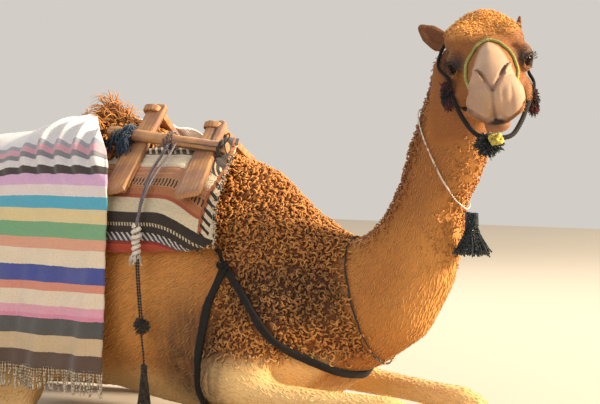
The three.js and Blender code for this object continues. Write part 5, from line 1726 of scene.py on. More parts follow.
def make_halter(finishes):
    """Noseband, headstall, jaw strap, their poms, and the knot and the wool under the chin."""
    at, facing = head_plane(NOSEBAND)
    line, _ = ring_on(["head"], at, facing, 0.0045, step=0.004)
    line = laid_on_nose(line)
    noseband = lay_rope("noseband" + MADE, [line], 0.0047, finishes["green"], pitch=0.024, closed=True)
    at, facing = head_plane(HEADSTALL)
    line, outward = ring_on(["head"], at, facing, 0.005, step=0.005)
    line = lifted_off_skin(line, 0.009)
    felt = finishes["felt"]
    headstall = strap_along("headstall" + MADE, line, outward, 0.013, 0.008, felt, closed=True, lumps=0.1)
    line = spline(from_head(JAW_STRAP), 90)
    jaw = lay_rope("jaw_strap" + MADE, [line], 0.0066, felt, pitch=0.03, lobe=0.12)
    cut = {"pitch": 0.01, "sides": 4, "taper": 0.3}
    poms = []
    for seed, (side, place) in enumerate(CHEEK_POMS.items()):
        size = (0.021, 0.020, 0.040)
        lines = yarn_ball(from_head(place), size, 760, 20 + seed, HEAD_AXES, curl=0.22, droop=0.010)
        poms.append(lay_rope(f"cheek_pom_{side}{MADE}", lines, 0.0012, finishes["pom"], **cut))
    lines = yarn_ball(from_head(CHIN_WOOL), (0.030, 0.033, 0.029), 760, 31, HEAD_AXES, curl=0.32)
    wool = lay_rope("chin_wool" + MADE, lines, 0.0013, finishes["navy"], **cut)
    # a trefoil knot
    t = np.linspace(0, 2 * math.pi, 60, endpoint=False)
    wide, deep = 1.35 + 0.5 * np.cos(3 * t), 1.1 + 0.5 * np.cos(3 * t)
    line = np.stack([8.5 * np.cos(2 * t) * wide, 10 * np.sin(2 * t) * deep, 10 * np.sin(3 * t)], 1)
    line = from_head(line + np.array(CHIN_KNOT))
    knot = lay_rope("chin_knot" + MADE, [line], 0.0056, finishes["yellow"], pitch=0.024, closed=True)
    pieces = {"green_rope": [noseband, knot], "black_felt": [headstall, jaw]}
    pieces |= {"dark_yarn": [wool], "red_yarn": poms}
    stand_for_nodes(pieces)


def girth_path():
    """The girth's line under the chest, open at the top, and the ways out from it."""
    line, outward = ring_on(TORSO, *GIRTH, 0.006, count=200, step=0.008)
    low = line[:, 2] < STRAP_TOP
    first = int(np.argmax(low & ~np.roll(low, 1)))
    order = np.roll(np.arange(len(line)), -first)[: int(low.sum())]
    return line[order].copy(), outward[order]


def breast_path():
    """The breast strap's line: down along each side and level round the front."""
    (side_line, side_out), (front_line, front_out) = (
        ring_on(TORSO, *plane, 0.006, count=220, step=0.008) for plane in (BREAST_SIDE, BREAST_FRONT)
    )
    turn = BREAST_SIDE[0][0]  # where the two planes meet
    keep = (side_line[:, 0] < turn) & (side_line[:, 2] < STRAP_TOP)
    keep_front = (front_line[:, 0] >= turn) & (front_line[:, 2] < 0.5)
    halves = []
    for sign in (-1, 1):
        half = []
        for line, out, kept in ((side_line, side_out, keep), (front_line, front_out, keep_front)):
            some = kept & (line[:, 1] * sign > 0)
            order = np.argsort(line[some][:, 0])
            half.append((line[some][order], out[some][order]))
        points, out = (np.vstack(each) for each in zip(*half))
        halves.append((points[::-sign], out[::-sign]))
    points, out = (np.vstack(each) for each in zip(*halves))
    for _ in range(16):
        points[1:-1] = 0.5 * points[1:-1] + 0.25 * points[2:] + 0.25 * points[:-2]
        out[1:-1] = unit(0.5 * out[1:-1] + 0.25 * out[2:] + 0.25 * out[:-2])
    return points, out


def tie_to_pad(meet, sign):
    """A cord from a knot up over the coat, to end under the pad, which lies further back on the left."""
    run = 0.024 if sign < 0 else 0.024 + LEFT_LAG
    rise = 0.06 if sign < 0 else 0.055
    tie = [meet]
    for share in np.linspace(0.2, 1, 7):
        place, normal = on_skin(meet + share * np.array([-run, 0, rise]))
        tie.append(place + normal * (0.015 if share < 0.9 else 0.008))
    return spline(tie, 24)


def make_body_straps(finishes):
    """Girth, breast strap, neck cord and the white string with its tassel."""
    line, outward = girth_path()
    points, out = breast_path()
    # both straps are drawn together to the knot at each side
    meeting = {}
    for sign, ends in ((-1, (-1, 0)), (1, (0, -1))):
        if line[ends[0]][1] * sign < 0:
            ends = (-1 - ends[0], ends[1])
        meet = (line[ends[0]] + points[ends[1]]) / 2
        for strap, end in ((line, ends[0]), (points, ends[1])):
            near = smooth(strap[:, 2], 0.40, STRAP_TOP) * (strap[:, 1] * sign > 0)
            strap += (meet - strap[end]) * near[:, None]
        meeting[sign] = meet
    felt = finishes["felt"]
    girth = strap_along("girth" + MADE, line, outward, 0.026, 0.013, felt, lumps=0.06)
    breast = strap_along("breast_strap" + MADE, points, out, 0.023, 0.013, felt, lumps=0.08, seed=2)
    for (sign, meet), side in zip(meeting.items(), ("right", "left")):
        spine = [(-0.012, 0, 0.010), (0.012, 0, -0.012)]
        wraps = coil(meet + np.array([0, 0.004 * sign, 0]), spine, 0.0105, 3.5, wobble=0.1, seed=9)
        lines = [wraps, tie_to_pad(meet, sign)]
        finish(lay_rope(f"strap_knot_{side}", lines, 0.0058, felt, pitch=0.03), "black_felt")
    line, _ = ring_on(["trunk", "neck"], *NECK_CORD, 0.002, step=0.008)
    cord = lay_rope("neck_cord" + MADE, [line], 0.0035, finishes["dark"], pitch=0.018, closed=True)
    line, _ = ring_on(["neck"], *NECK_STRING, 0.003, step=0.006)
    string = lay_rope("neck_string" + MADE, [line], 0.0026, finishes["white"], pitch=0.012, closed=True)
    x, y, z = TASSEL_TOP
    lines = yarn_skirt((x, y, z - 0.034), 0.094, 0.016, 0.054, 230, 41, sway=0.004)
    skirt = lay_rope("tassel_yarn", lines, 0.0022, finishes["navy"], pitch=0.02, sides=5, taper=0.35)
    lines = [
        coil(TASSEL_TOP, [(0, 0, -0.006), (0, 0, -0.032)], 0.0155, 5, seed=5),
        coil(TASSEL_TOP, [(0, 0, -0.034), (0, 0, -0.044)], 0.0165, 2.5, seed=6),
    ]
    knob = lay_rope("tassel_knob", lines, 0.0042, finishes["navy"], pitch=0.016)
    tassel = join_pieces("neck_tassel" + MADE, [skirt, knob])
    stand_for_nodes({"black_felt": [girth, breast, cord], "white_yarn": [string], "dark_yarn": [tassel]})


# ---------------------------------------------------------------- eyes and lashes
def make_eyes(finishes):
    """Eyeballs with a bulging cornea, and lashes on the upper lids."""
    for name, side in (("right", -1), ("left", 1)):
        centre, along, up, outward = eye_axes(side)
        ball = bmesh.new()
        bmesh.ops.create_uvsphere(ball, u_segments=40, v_segments=28, radius=EYE_RADIUS - 0.3)
        points = np.array([v.co[:] for v in ball.verts])
        faces = [[v.index for v in f.verts] for f in ball.faces]
        ball.free()
        gaze = unit(points)[:, 2]
        points = points * (1 + 0.05 * smooth(gaze, 0.78, 0.97))[:, None]
        look = np.stack([along, np.cross(outward, along), outward], 1)
        piece = new_piece(f"eye_{name}{MADE}", from_head(centre + points @ look.T), faces, finishes["eye"])
        local = unit(points)
        store(piece, "from_pupil", np.hypot(local[:, 0] * 0.62, local[:, 1] * 1.15) + (local[:, 2] < 0))
        store(piece, "from_iris", np.hypot(local[:, 0], local[:, 1]) + 2.0 * (local[:, 2] < 0))
        finish(piece, "eye", f"eye_{name}")
        upper, _ = lid_lines(side)
        line = spline(upper, 22)[2:-2]
        lashes = []
        for k, root in enumerate(line):
            away = unit(root - (centre + outward * 6)) + outward * 0.9 - up * 0.35
            away = away + along * (0.3 - 0.6 * k / len(line))
            t = np.linspace(0, 1, 5)[:, None]
            length = 12 + 3 * math.sin(k * 2.4)
            for shift in (-0.7, 0.7):
                bend = up * (5.0 * t**2) + along * shift * 2.2 * t
                start = root + outward * 0.5 + along * shift
                lashes.append(from_head(start + unit(away) * length * t + bend))
        single = {"pitch": 0.01, "strands": 1, "lobe": 0, "sides": 4, "taper": 0.9}
        hair = lay_rope(f"lashes_{name}", lashes, 0.00055, finishes["lash"], **single)
        finish(hair, "eye")


# ---------------------------------------------------------------- toenails
FEET = {  # the tip of each foot between its two toes, and half the distance between the toes' middles
    "foreleg_right": (-0.070, -0.248, 0.036, 0.021),
    "foreleg_left": (-0.005, 0.248, 0.018, 0.021),
    "hindleg_right": (-0.476, -0.365, 0.026, 0.024),
    "hindleg_left": (-0.476, 0.365, 0.026, 0.024),
}


def make_nails(finishes):
    """A broad blunt nail on each toe."""
    for leg, (x, y, z, half) in FEET.items():
        ahead = -1 if leg.startswith("fore") else 1
        points, faces = [], []
        for toe in (-1, 1):
            start = len(points)
            rows, columns = 9, 11
            for layer in (0.0, 0.0032):
                for i in range(rows):
                    u = i / (rows - 1)
                    for j in range(columns):
                        v = -1 + 2 * j / (columns - 1)
                        bend = math.sqrt(max(0.0, 1 - 0.78 * v * v))
                        length = (0.006 + 0.016 * u) * bend
                        points.append((
                            x + ahead * (length - 0.012 + layer * bend),
                            y + toe * half + (0.0165 + layer) * v * (0.82 + 0.18 * u),
                            max(0.001, z + 0.012 - 0.024 * u + (0.004 + layer) * (1 - u) * bend),
                        ))
            grid = lambda l, i, j: start + (l * rows + i) * columns + j
            for i in range(rows - 1):
                for j in range(columns - 1):
                    faces.append([grid(1, i, j), grid(1, i, j + 1), grid(1, i + 1, j + 1), grid(1, i + 1, j)])
                    faces.append([grid(0, i, j), grid(0, i + 1, j), grid(0, i + 1, j + 1), grid(0, i, j + 1)])
            rim = [(i, 0) for i in range(rows)] + [(rows - 1, j) for j in range(1, columns)]
            rim += [(i, columns - 1) for i in range(rows - 2, -1, -1)]
            rim += [(0, j) for j in range(columns - 2, 0, -1)]
            for (i, j), (k, m) in zip(rim, rim[1:] + rim[:1]):
                faces.append([grid(0, i, j), grid(1, i, j), grid(1, k, m), grid(0, k, m)])
        finish(face_outwards(new_piece(f"nails_{leg}", points, faces, finishes["nail"])), "pad_skin")


# ---------------------------------------------------------------- saddle tree: boards and poles
ARCHES = {
    "front": {"foot": (-0.042, -0.350, 0.756), "head": (-0.182, 0.034, 0.976)},
    "rear": {"foot": (-0.318, -0.350, 0.758), "head": (-0.414, 0.036, 1.034)},
}
LEFT_LAG = 0.150  # how much further back the saddle's left side lies
POLES = {
    "right": ((-0.472, -0.166, 0.942), (-0.036, -0.143, 0.890)),
    "left": ((-0.530, 0.253, 0.872), (-0.190, 0.249, 0.842)),
}
POLE_LOOP = [  # a loop of thin cord, from the near pole's front end
    (-0.012, -0.021, 0.0), (0.006, -0.024, 0.016), (0.022, -0.024, 0.034), (0.020, -0.022, 0.046),
    (0.008, -0.021, 0.040), (0.004, -0.022, 0.020), (0.008, -0.024, -0.004), (0.018, -0.026, -0.022),
]


def softened(node, voxel, factor, times):
    """A copy of a solid, evenly remeshed with its edges rounded."""
    piece = copy_solid(node, node + MADE)
    remesh = piece.modifiers.new("Remesh", "REMESH")
    remesh.mode, remesh.voxel_size, remesh.use_smooth_shade = "VOXEL", voxel, True
    soften = piece.modifiers.new("Soften", "SMOOTH")
    soften.factor, soften.iterations = factor, times
    return apply_modifiers(piece)


def timber(node, start, end, finish_material, seed):
    """A hewn board or pole: rounded arrises, adze marks and splits along its length."""
    piece = softened(node, 0.0042, 0.6, 3)
    points, normals = points_of(piece).astype(float), normals_of(piece)
    start, end = np.array(start), np.array(end)
    along = unit(end - start)
    across = unit(np.cross(along, [0.3, 0.2, 0.93]))
    other = np.cross(along, across)
    local = np.stack([(points - start) @ along, (points - start) @ across, (points - start) @ other], 1)
    rng = np.random.default_rng(seed)
    u, v, w = local.T
    relief = np.zeros(len(points))
    for scale, size in ((26, 0.5), (55, 0.35), (120, 0.2)):
        a, b, c = rng.uniform(0, 6.28, 3)
        relief += size * np.sin(u * scale * 0.45 + a + 2 * np.sin(v * scale + b)) * np.cos(w * scale + c)
    splits = np.zeros(len(points))
    for sign, span in ((1, (0.2, 0.34)), (-1, (-0.16, -0.02))):
        at = rng.uniform(-0.02, 0.02)
        splits += np.exp(-(((v * 0.8 + w * 0.6 - at) / 0.0016) ** 2)) * smooth(u * sign, *span)
    move_points(piece, points + normals * (0.00096 * relief - 0.0022 * splits - 0.0006)[:, None])
    piece.data.shade_smooth()
    store(piece, "timber", local, "FLOAT_VECTOR")
    store(piece, "split", splits)
    piece.data.materials.append(finish_material)
    finish(piece, "wood", node)
    return piece


def make_saddle_tree(finishes):
    """The crossing boards and the two poles, and the wool and cords that lash them."""
    seed = 50
    for arch, ends in ARCHES.items():
        for side, sign, lag in (("right", 1, 0.0), ("left", -1, LEFT_LAG)):
            foot, head = ((x - lag, y * sign, z) for x, y, z in (ends["foot"], ends["head"]))
            timber(f"saddle_board_{arch}_{side}", foot, head, finishes["wood"], seed)
            seed += 1
    for side, (rear, front) in POLES.items():
        timber(f"saddle_pole_{side}", rear, front, finishes["wood"], seed)
        seed += 1
    rear, front = (np.array(p) for p in POLES["right"])
    at = lambda share: rear + (front - rear) * share
    # navy wool bound round the pole behind the rear board, with its loose ends
    wraps = [
        coil((0, 0, 0), [at(0.13), at(0.225)], 0.0275, 6, wobble=0.12, seed=61),
        coil((0, 0, 0), [at(0.22), at(0.135)], 0.0325, 4.5, wobble=0.2, seed=62),
    ]
    rng = np.random.default_rng(63)
    t = np.linspace(0, 1, 8)[:, None]
    loose = []
    for _ in range(46):
        root = at(rng.uniform(0.11, 0.23)) + np.array([0, -0.027, rng.uniform(-0.02, 0.016)])
        way = np.array([rng.uniform(-0.035, 0.02), rng.uniform(-0.03, -0.008), -rng.uniform(0.03, 0.08)])
        bow = np.array([0, -0.012, 0.012]) * np.sin(math.pi * t)
        loose.append(root + way * t + bow + rng.normal(0, 0.0016, (8, 3)) * t)
    binding = lay_rope("binding_wraps", wraps, 0.0046, finishes["navy_bright"], pitch=0.018)
    ends = lay_rope("binding_ends", loose, 0.0021, finishes["navy_bright"], pitch=0.014, sides=5, taper=0.4)
    binding = join_pieces("pole_binding", [binding, ends])
    finish(binding, "dark_yarn")
    # the dark strap that runs back from it under the blanket's edge
    start = at(0.17) + np.array([0.0, -0.034, -0.012])
    back = np.array([start, (-0.43, -0.208, 0.915), (-0.475, -0.215, 0.905), (-0.53, -0.218, 0.895)])
    lines = [spline(back, 24), spline(back + [0.0, -0.002, -0.013], 24)]
    finish(lay_rope("pole_strap", lines, 0.0065, finishes["felt"], pitch=0.03), "black_felt")
    # the grey rope's turns over the pole, from which it hangs
    turns = [coil((0, 0, 0), [at(0.50), at(0.575)], 0.0262, 2.6, wobble=0.05, seed=64)]
    x, y, z = HANGING_ROPE[0]
    second = [
        (x + 0.030, y - 0.004, z + 0.004), (x + 0.034, -0.224, 0.868), (x + 0.030, -0.272, 0.829),
        (-0.206, -0.320, 0.776), (-0.205, -0.356, 0.725), (-0.204, -0.378, 0.676), (-0.204, -0.384, 0.650),
    ]
    turns.append(spline(second, 40))
    finish(lay_rope("pole_rope", turns, 0.0046, finishes["grey"], pitch=0.022), "grey_rope")
    # the loop of thin cord at the pole's front end
    wrap = coil((0, 0, 0), [at(0.945), at(0.975)], 0.0245, 3, seed=65)
    lines = [spline(at(1.0) + np.array(POLE_LOOP), 50), wrap]
    finish(lay_rope("pole_loop", lines, 0.0024, finishes["dark"], pitch=0.012), "dark_cord")


# ---------------------------------------------------------------- pad, cushion and blanket
PAD_RISE = 0.075  # how far its stripes drop towards its front end


def stripe_height(points):
    """The height that decides which stripe of the pad a point is in; it drops towards the front."""
    drop = PAD_RISE * smooth(points[:, 0], -0.20, 0.03) ** 1.4
    return points[:, 2] + drop


def make_pad(finishes):
    """The woven saddle pad: a stuffed roll over the back, with a corded hem and a frayed front edge."""
    for name in ("saddle_pad", "rear_cushion"):
        piece = softened(name, 0.008, 0.7, 8)
        points, normals = points_of(piece).astype(float), normals_of(piece).astype(float)
        x, y, z = points.T.copy()
        height = stripe_height(points)
        ridges = 0.0016 * np.cos(2 * math.pi * height / 0.0145)
        lumps = 0.0035 * np.sin(x * 21 + 2.0 * np.sin(z * 13)) * np.cos(z * 17 + y * 9)
        outer = smooth(np.abs(normals[:, 1]) + np.abs(normals[:, 2]), 0.3, 0.7)
        points += normals * ((ridges + lumps) * outer)[:, None]
        if name == "saddle_pad":  # its lower front corner is drawn out
            corner = smooth(x, -0.16, 0.02) * (1 - smooth(z, 0.62, 0.76))
            points += corner[:, None] * np.array([0.022, 0, -0.006])
        move_points(piece, points)
        store(piece, "height", height)
        front_end = np.interp(points[:, 1], [-0.18, 0.18], [0.022, 0.022 - LEFT_LAG])
        store(piece, "from_front", front_end - points[:, 0] if name == "saddle_pad" else np.ones(len(points)))
        piece.data.shade_smooth()
        piece.data.materials.append(finishes["pad"])
        finish(piece, "woven_pad", name)
    # loose yarn at the front end
    points = points_of(bpy.data.objects["saddle_pad" + MADE]).astype(float)
    rng = np.random.default_rng(71)
    light, dark = [], []
    t = np.linspace(0, 1, 5)[:, None]
    for side in (-1, 1):
        for z in np.arange(0.585, 0.90, 0.0042):
            band = points[(np.abs(points[:, 2] - z) < 0.009) & (points[:, 1] * side > 0)]
            if not len(band):
                continue
            root = band[np.argmax(band[:, 0])]
            for _ in range(2):
                way = rng.uniform((0.004, 0.001, -0.026), (0.014, 0.010, 0.006)) * (1, side, 1)
                start = root + np.array([-0.006, side * 0.003, rng.uniform(-0.004, 0.004)])
                line = start + way * t + rng.normal(0, 0.0013, (5, 3)) * t
                (dark if math.sin(z * 120) + rng.normal(0, 0.5) > 0.45 else light).append(line)
    ends = {"pitch": 0.012, "sides": 5, "taper": 0.3}
    light = lay_rope("fringe_light", light, 0.0017, finishes["cream"], **ends)
    dark = lay_rope("fringe_dark", dark, 0.0017, finishes["dark"], **ends)
    finish(join_pieces("pad_fringe", [light, dark]), "woven_pad")


BLANKET = {
    "hem": 0.212,
    "shoulder": 0.700,  # where it turns from lying to hanging
    "turn": 0.42,  # the share of its half length that lies on the back
    "half_width": 0.352,
    "roundness": 2.6,
    "spread": 0.030,
    "ridge": (0.992, 0.972, 0.950, 0.946, 0.940, 0.862),  # heights along the back, from front to rear
    "front": (-0.628, -0.318),  # on the back and at the hem
    "rear": (-1.072, -1.010),
    "threads": (281, 91),  # points across and along
}


def blanket_surface(across, along):
    """Where the blanket lies: across from its right hem to its left, along from front to rear."""
    b = BLANKET
    side = np.abs(2 * across - 1)
    sign = np.where(across < 0.5, -1.0, 1.0)
    angle = math.pi / 2 * np.minimum(1, side / b["turn"])
    front, rear = (b[end][0] + (b[end][1] - b[end][0]) * np.sin(angle) for end in ("front", "rear"))
    x = front + (rear - front) * along
    place = np.clip((b["front"][0] - x) / (b["front"][0] - b["rear"][0]), 0, 1)
    top = np.interp(place, np.linspace(0, 1, len(b["ridge"])), b["ridge"]) - 0.003
    width = b["half_width"] * (1 - 0.1 * smooth(-x, 0.85, 1.08)) + 0.022
    power = 2 / b["roundness"]
    y = sign * width * np.sin(angle) ** power
    z = b["shoulder"] + (top - b["shoulder"]) * np.cos(angle) ** power
    down = np.maximum(0, (side - b["turn"]) / (1 - b["turn"]))
    y = np.where(down > 0, sign * (width + b["spread"] * np.sin(math.pi / 2 * down)), y)
    z = np.where(down > 0, b["shoulder"] + (b["hem"] - b["shoulder"]) * down, z)
    return np.stack([x, y, z], -1)


def folded(points, across):
    """The blanket with long folds that grow towards the hems, small ones, and bunched ones on top."""
    normal = unit(np.cross(np.gradient(points, axis=0), np.gradient(points, axis=1)))
    normal *= np.sign(np.sum(normal * (points - np.array(RUMP)), axis=-1, keepdims=True))
    x, z = points[..., 0], points[..., 2]
    turn = 2 * math.pi
    hang = smooth(-z, -0.78, -0.25)
    folds = 0.0085 * (0.25 + hang) * np.sin(turn * (x / 0.185 + 0.22 * np.sin(z * 5.0) + 0.12))
    folds += 0.0035 * (0.3 + hang) * np.sin(turn * (x / 0.083 + 0.35 * np.sin(z * 7.3 + 1.0)))
    folds += 0.0015 * np.sin(turn * (z / 0.061 + 0.6 * np.sin(x * 9)))
    gather = smooth(z, 0.74, 0.88) * (1 - smooth(-x, 0.62, 0.84))
    folds += 0.014 * gather * np.sin(turn * ((x + 0.55 * (z - 0.9)) / 0.072)) * np.where(across < 0.5, 1, 0.7)
    return points + normal * folds[..., None]


def laid_down(points):
    """The blanket pushed out of what it covers, a little at a time, each push shared with its neighbours."""
    field = Field((-1.25, -0.47, 0.05), (-0.18, 0.47, 1.16), 0.011, band=6)
    legs = [f"hindleg_{side}_{part}" for side in ("right", "left") for part in ("thigh", "gaskin")]
    names = ["trunk", "hump", "saddle_pad", "rear_cushion", *legs]
    solid = blurred(field.whole(field.of_nodes(names)), 0.8)
    slopes = np.gradient(solid, field.step)
    flat = points.reshape(-1, 3)
    for _ in range(7):
        depth = 0.0075 - field.sample(solid, flat)
        slope = unit(np.stack([field.sample(g, flat) for g in slopes], 1))
        slope[:, 2] = np.maximum(slope[:, 2], 0)
        push = (np.clip(depth, 0, 0.02)[:, None] * unit(slope + 1e-9)).reshape(points.shape)
        for _ in range(2):
            wide = np.pad(push, ((1, 1), (1, 1), (0, 0)), mode="edge")
            push = push * 0.6 + 0.1 * (wide[2:, 1:-1] + wide[:-2, 1:-1] + wide[1:-1, 2:] + wide[1:-1, :-2])
        flat = flat + push.reshape(-1, 3)
    return flat.reshape(points.shape)


def make_blanket(finishes):
    """The striped blanket: one cloth over the rump, with folds and a twisted fringe along its hems."""
    nx, ny = BLANKET["threads"]
    across, along = np.meshgrid(np.linspace(0, 1, nx), np.linspace(0, 1, ny), indexing="ij")
    points = laid_down(folded(blanket_surface(across, along), across))
    index = np.arange(nx * ny).reshape(nx, ny)
    quads = np.stack([index[:-1, :-1], index[1:, :-1], index[1:, 1:], index[:-1, 1:]], -1).reshape(-1, 4)
    piece = new_piece("blanket" + MADE, points.reshape(-1, 3), quads, finishes["blanket"])
    if sum(f.normal.dot(f.center - Vector(RUMP)) for f in piece.data.polygons) < 0:
        reworked(piece, lambda mesh: bmesh.ops.reverse_faces(mesh, faces=mesh.faces))
    middle = points[:, ny // 2]
    travelled = np.concatenate([[0], np.cumsum(np.linalg.norm(np.diff(middle, axis=0), axis=1))])
    store(piece, "from_hem", np.repeat(np.minimum(travelled, travelled[-1] - travelled), ny))
    thick = piece.modifiers.new("Cloth", "SOLIDIFY")
    thick.thickness, thick.offset = 0.0045, 0.0
    apply_modifiers(piece)
    piece.data.shade_smooth()
    finish(piece, "striped_blanket", "blanket")
    rng = np.random.default_rng(81)
    tufts = []
    t = np.linspace(0, 1, 9)[:, None]
    for row, side in ((0, -1), (-1, 1)):
        edge = points[row]
        for root in spline(edge[::6], int(length_of(edge) / 0.0088)):
            way = [rng.uniform(-0.010, 0.010), side * rng.uniform(-0.002, 0.004), -rng.uniform(0.066, 0.080)]
            line = root + np.array([0, 0, 0.006]) + np.array(way) * t
            tufts.append(line + rng.normal(0, 0.0012, (9, 3)) * t)
    twisted = {"pitch": 0.014, "strands": 2, "lobe": 0.28, "sides": 8, "taper": 0.25}
    fringe = lay_rope("blanket_fringe", tufts, 0.0029, finishes["cream"], **twisted)
    finish(fringe, "striped_blanket")


# ---------------------------------------------------------------- stage
CAMERA_AZIMUTH = math.radians(30)
CAMERA = {"right": 0.12, "back": -4.25, "height": 0.947, "focal": 1350, "horizon": 130}
IMAGE = (600, 404)


def make_camera():
    """A level camera at the eye line of a standing handler, its frame shifted down on the animal."""
    data = bpy.data.cameras.new("camera")
    camera = link(bpy.data.objects.new("camera", data))
    c, s = math.cos(CAMERA_AZIMUTH), math.sin(CAMERA_AZIMUTH)
    right, back = CAMERA["right"], CAMERA["back"]
    camera.location = (right * c - back * s, right * s + back * c, CAMERA["height"])
    camera.rotation_euler = (math.radians(90), 0, CAMERA_AZIMUTH)
    data.sensor_width = 36
    data.lens = 36 * CAMERA["focal"] / IMAGE[0]
    data.shift_y = -(IMAGE[1] / 2 - CAMERA["horizon"]) / IMAGE[0]
    data.clip_end = 100
    bpy.context.scene.camera = camera
    return camera


def make_stage():
    """A pale floor, a soft key from the animal's front, and an even fill."""
    corners = [(x, y, -0.001) for x, y in ((-9, -9), (9, -9), (9, 9), (-9, 9))]
    floor = new_piece("floor", corners, [[0, 1, 2, 3]])
    made, tree, shader = material("Matt studio floor, rolled paint")
    place = add(tree, "ShaderNodeTexCoord").outputs["Object"]
    grain = add(tree, "ShaderNodeTexNoise", {"Vector": place, "Scale": 140.0, "Detail": 3.0})
    bump = add(tree, "ShaderNodeBump", {"Strength": 0.1, "Distance": 0.001, "Height": grain})
    feed(shader, {"Base Color": "#bdb5a8", "Roughness": 0.85, "Normal": bump})
    floor.data.materials.append(made)
    bpy.context.scene.view_settings.view_transform = "Standard"
    world = bpy.data.worlds.new("studio")
    bpy.context.scene.world = world
    world.use_nodes = True
    feed(world.node_tree.nodes["Background"], {"Color": "#f3eee6", "Strength": 0.72})
    c, s = math.cos(CAMERA_AZIMUTH), math.sin(CAMERA_AZIMUTH)
    for name, (right, back, up), size, power, tint in (
        ("key", (11.0, -1.8, 5.4), 2.3, 3900, "#ffe9c8"),
        ("fill", (-2.4, -4.4, 2.6), 3.0, 70, "#f3f1ff"),
        ("rim", (0.4, 4.0, 3.6), 2.5, 130, "#fff6e6"),
    ):
        data = bpy.data.lights.new(name, "AREA")
        data.size, data.energy, data.color = size, power, linear(tint)[:3]
        light = link(bpy.data.objects.new(name, data))
        light.location = (right * c - back * s, right * s + back * c, up)
        aim = Vector((0.1, 0.0, 0.5)) - light.location
        light.rotation_euler = aim.to_track_quat("-Z", "Y").to_euler()
    return floor


# ---------------------------------------------------------------- operators
def colour_choice(name, description, code):
    """A colour that a user may change."""
    return bpy.props.FloatVectorProperty(
        name=name, description=description, default=linear(code), size=4, min=0, max=1, subtype="COLOR"
    )


class CamelSettings(bpy.types.PropertyGroup):
    """Sizes and colours of the model."""

    coat_dark: colour_choice("Coat, dark", "Darker colour of the short coat", "#a66124")
    coat_light: colour_choice("Coat, light", "Lighter colour of the short coat", "#c28236")
    wool_dark: colour_choice("Wool, dark", "Darker colour of the curls", "#a5662b")
    wool_light: colour_choice("Wool, light", "Lighter colour of the curls", "#d89848")
    leg_pale: colour_choice("Legs", "Pale coat of the legs and the belly", "#e9c282")
    nose_dark: colour_choice("Nose, dark", "Darker colour of the bare nose", "#a38168")
    nose_light: colour_choice("Nose, light", "Lighter colour of the bare nose", "#c6a68a")
    wood_dark: colour_choice("Wood, dark", "Darker grain of the saddle tree", "#9a6338")
    wood_light: colour_choice("Wood, light", "Lighter grain of the saddle tree", "#dcae78")
    straps: colour_choice("Straps", "Girth, breast strap and headstall", "#191716")
    rope: colour_choice("Hanging rope", "Light side of the grey rope", "#8b8188")
    noseband: colour_choice("Noseband", "Light side of the noseband's rope", "#b7b35a")

    wool_spacing: bpy.props.FloatProperty(
        name="Wool spacing", description="Between wool locks", default=0.0070, min=0.004, unit="LENGTH"
    )
    fur_spacing: bpy.props.FloatProperty(
        name="Short coat spacing", description="Between short tufts", default=0.0098, min=0.006, unit="LENGTH"
    )


class CAMEL_OT_cords(bpy.types.Operator):
    """Makes the two cords that hang from the near pole"""

    bl_idname = "camel.cords"
    bl_label = "Hanging cords"

    def execute(self, context):
        make_hanging_cords(finishes())
        return {"FINISHED"}


class CAMEL_OT_eyes(bpy.types.Operator):
    """Makes the eyes, their lashes and the toenails"""

    bl_idname = "camel.eyes"
    bl_label = "Eyes and nails"

    def execute(self, context):
        make_eyes(finishes())
        make_nails(finishes())
        return {"FINISHED"}


class CAMEL_OT_halter(bpy.types.Operator):
    """Makes the halter and its poms"""

    bl_idname = "camel.halter"
    bl_label = "Halter"

    def execute(self, context):
        make_halter(finishes())
        return {"FINISHED"}


class CAMEL_OT_straps(bpy.types.Operator):
    """Makes the girth, the breast strap and the neck cords"""

    bl_idname = "camel.straps"
    bl_label = "Straps and neck cords"

    def execute(self, context):
        make_body_straps(finishes())
        return {"FINISHED"}


class CAMEL_OT_saddle(bpy.types.Operator):
    """Makes the saddle's boards, poles and lashings"""

    bl_idname = "camel.saddle"
    bl_label = "Saddle tree"

    def execute(self, context):
        make_saddle_tree(finishes())
        return {"FINISHED"}


class CAMEL_OT_pad(bpy.types.Operator):
    """Makes the saddle pad and the cushion behind it"""

    bl_idname = "camel.pad"
    bl_label = "Pad and cushion"

    def execute(self, context):
        make_pad(finishes())
        return {"FINISHED"}


class CAMEL_OT_blanket(bpy.types.Operator):
    """Makes the striped blanket and its fringe"""

    bl_idname = "camel.blanket"
    bl_label = "Blanket"

    def execute(self, context):
        make_blanket(finishes())
        return {"FINISHED"}


class CAMEL_OT_skin(bpy.types.Operator):
    """Makes the skin of the whole animal"""

    bl_idname = "camel.skin"
    bl_label = "Skin"

    def execute(self, context):
        skin = make_skin("skin")
        hide = coat_material("Camel hide, short-haired and bare", False, context.scene.camel)
        skin.data.materials.append(hide)
        finish(skin, "coat", *FLESH)
        return {"FINISHED"}


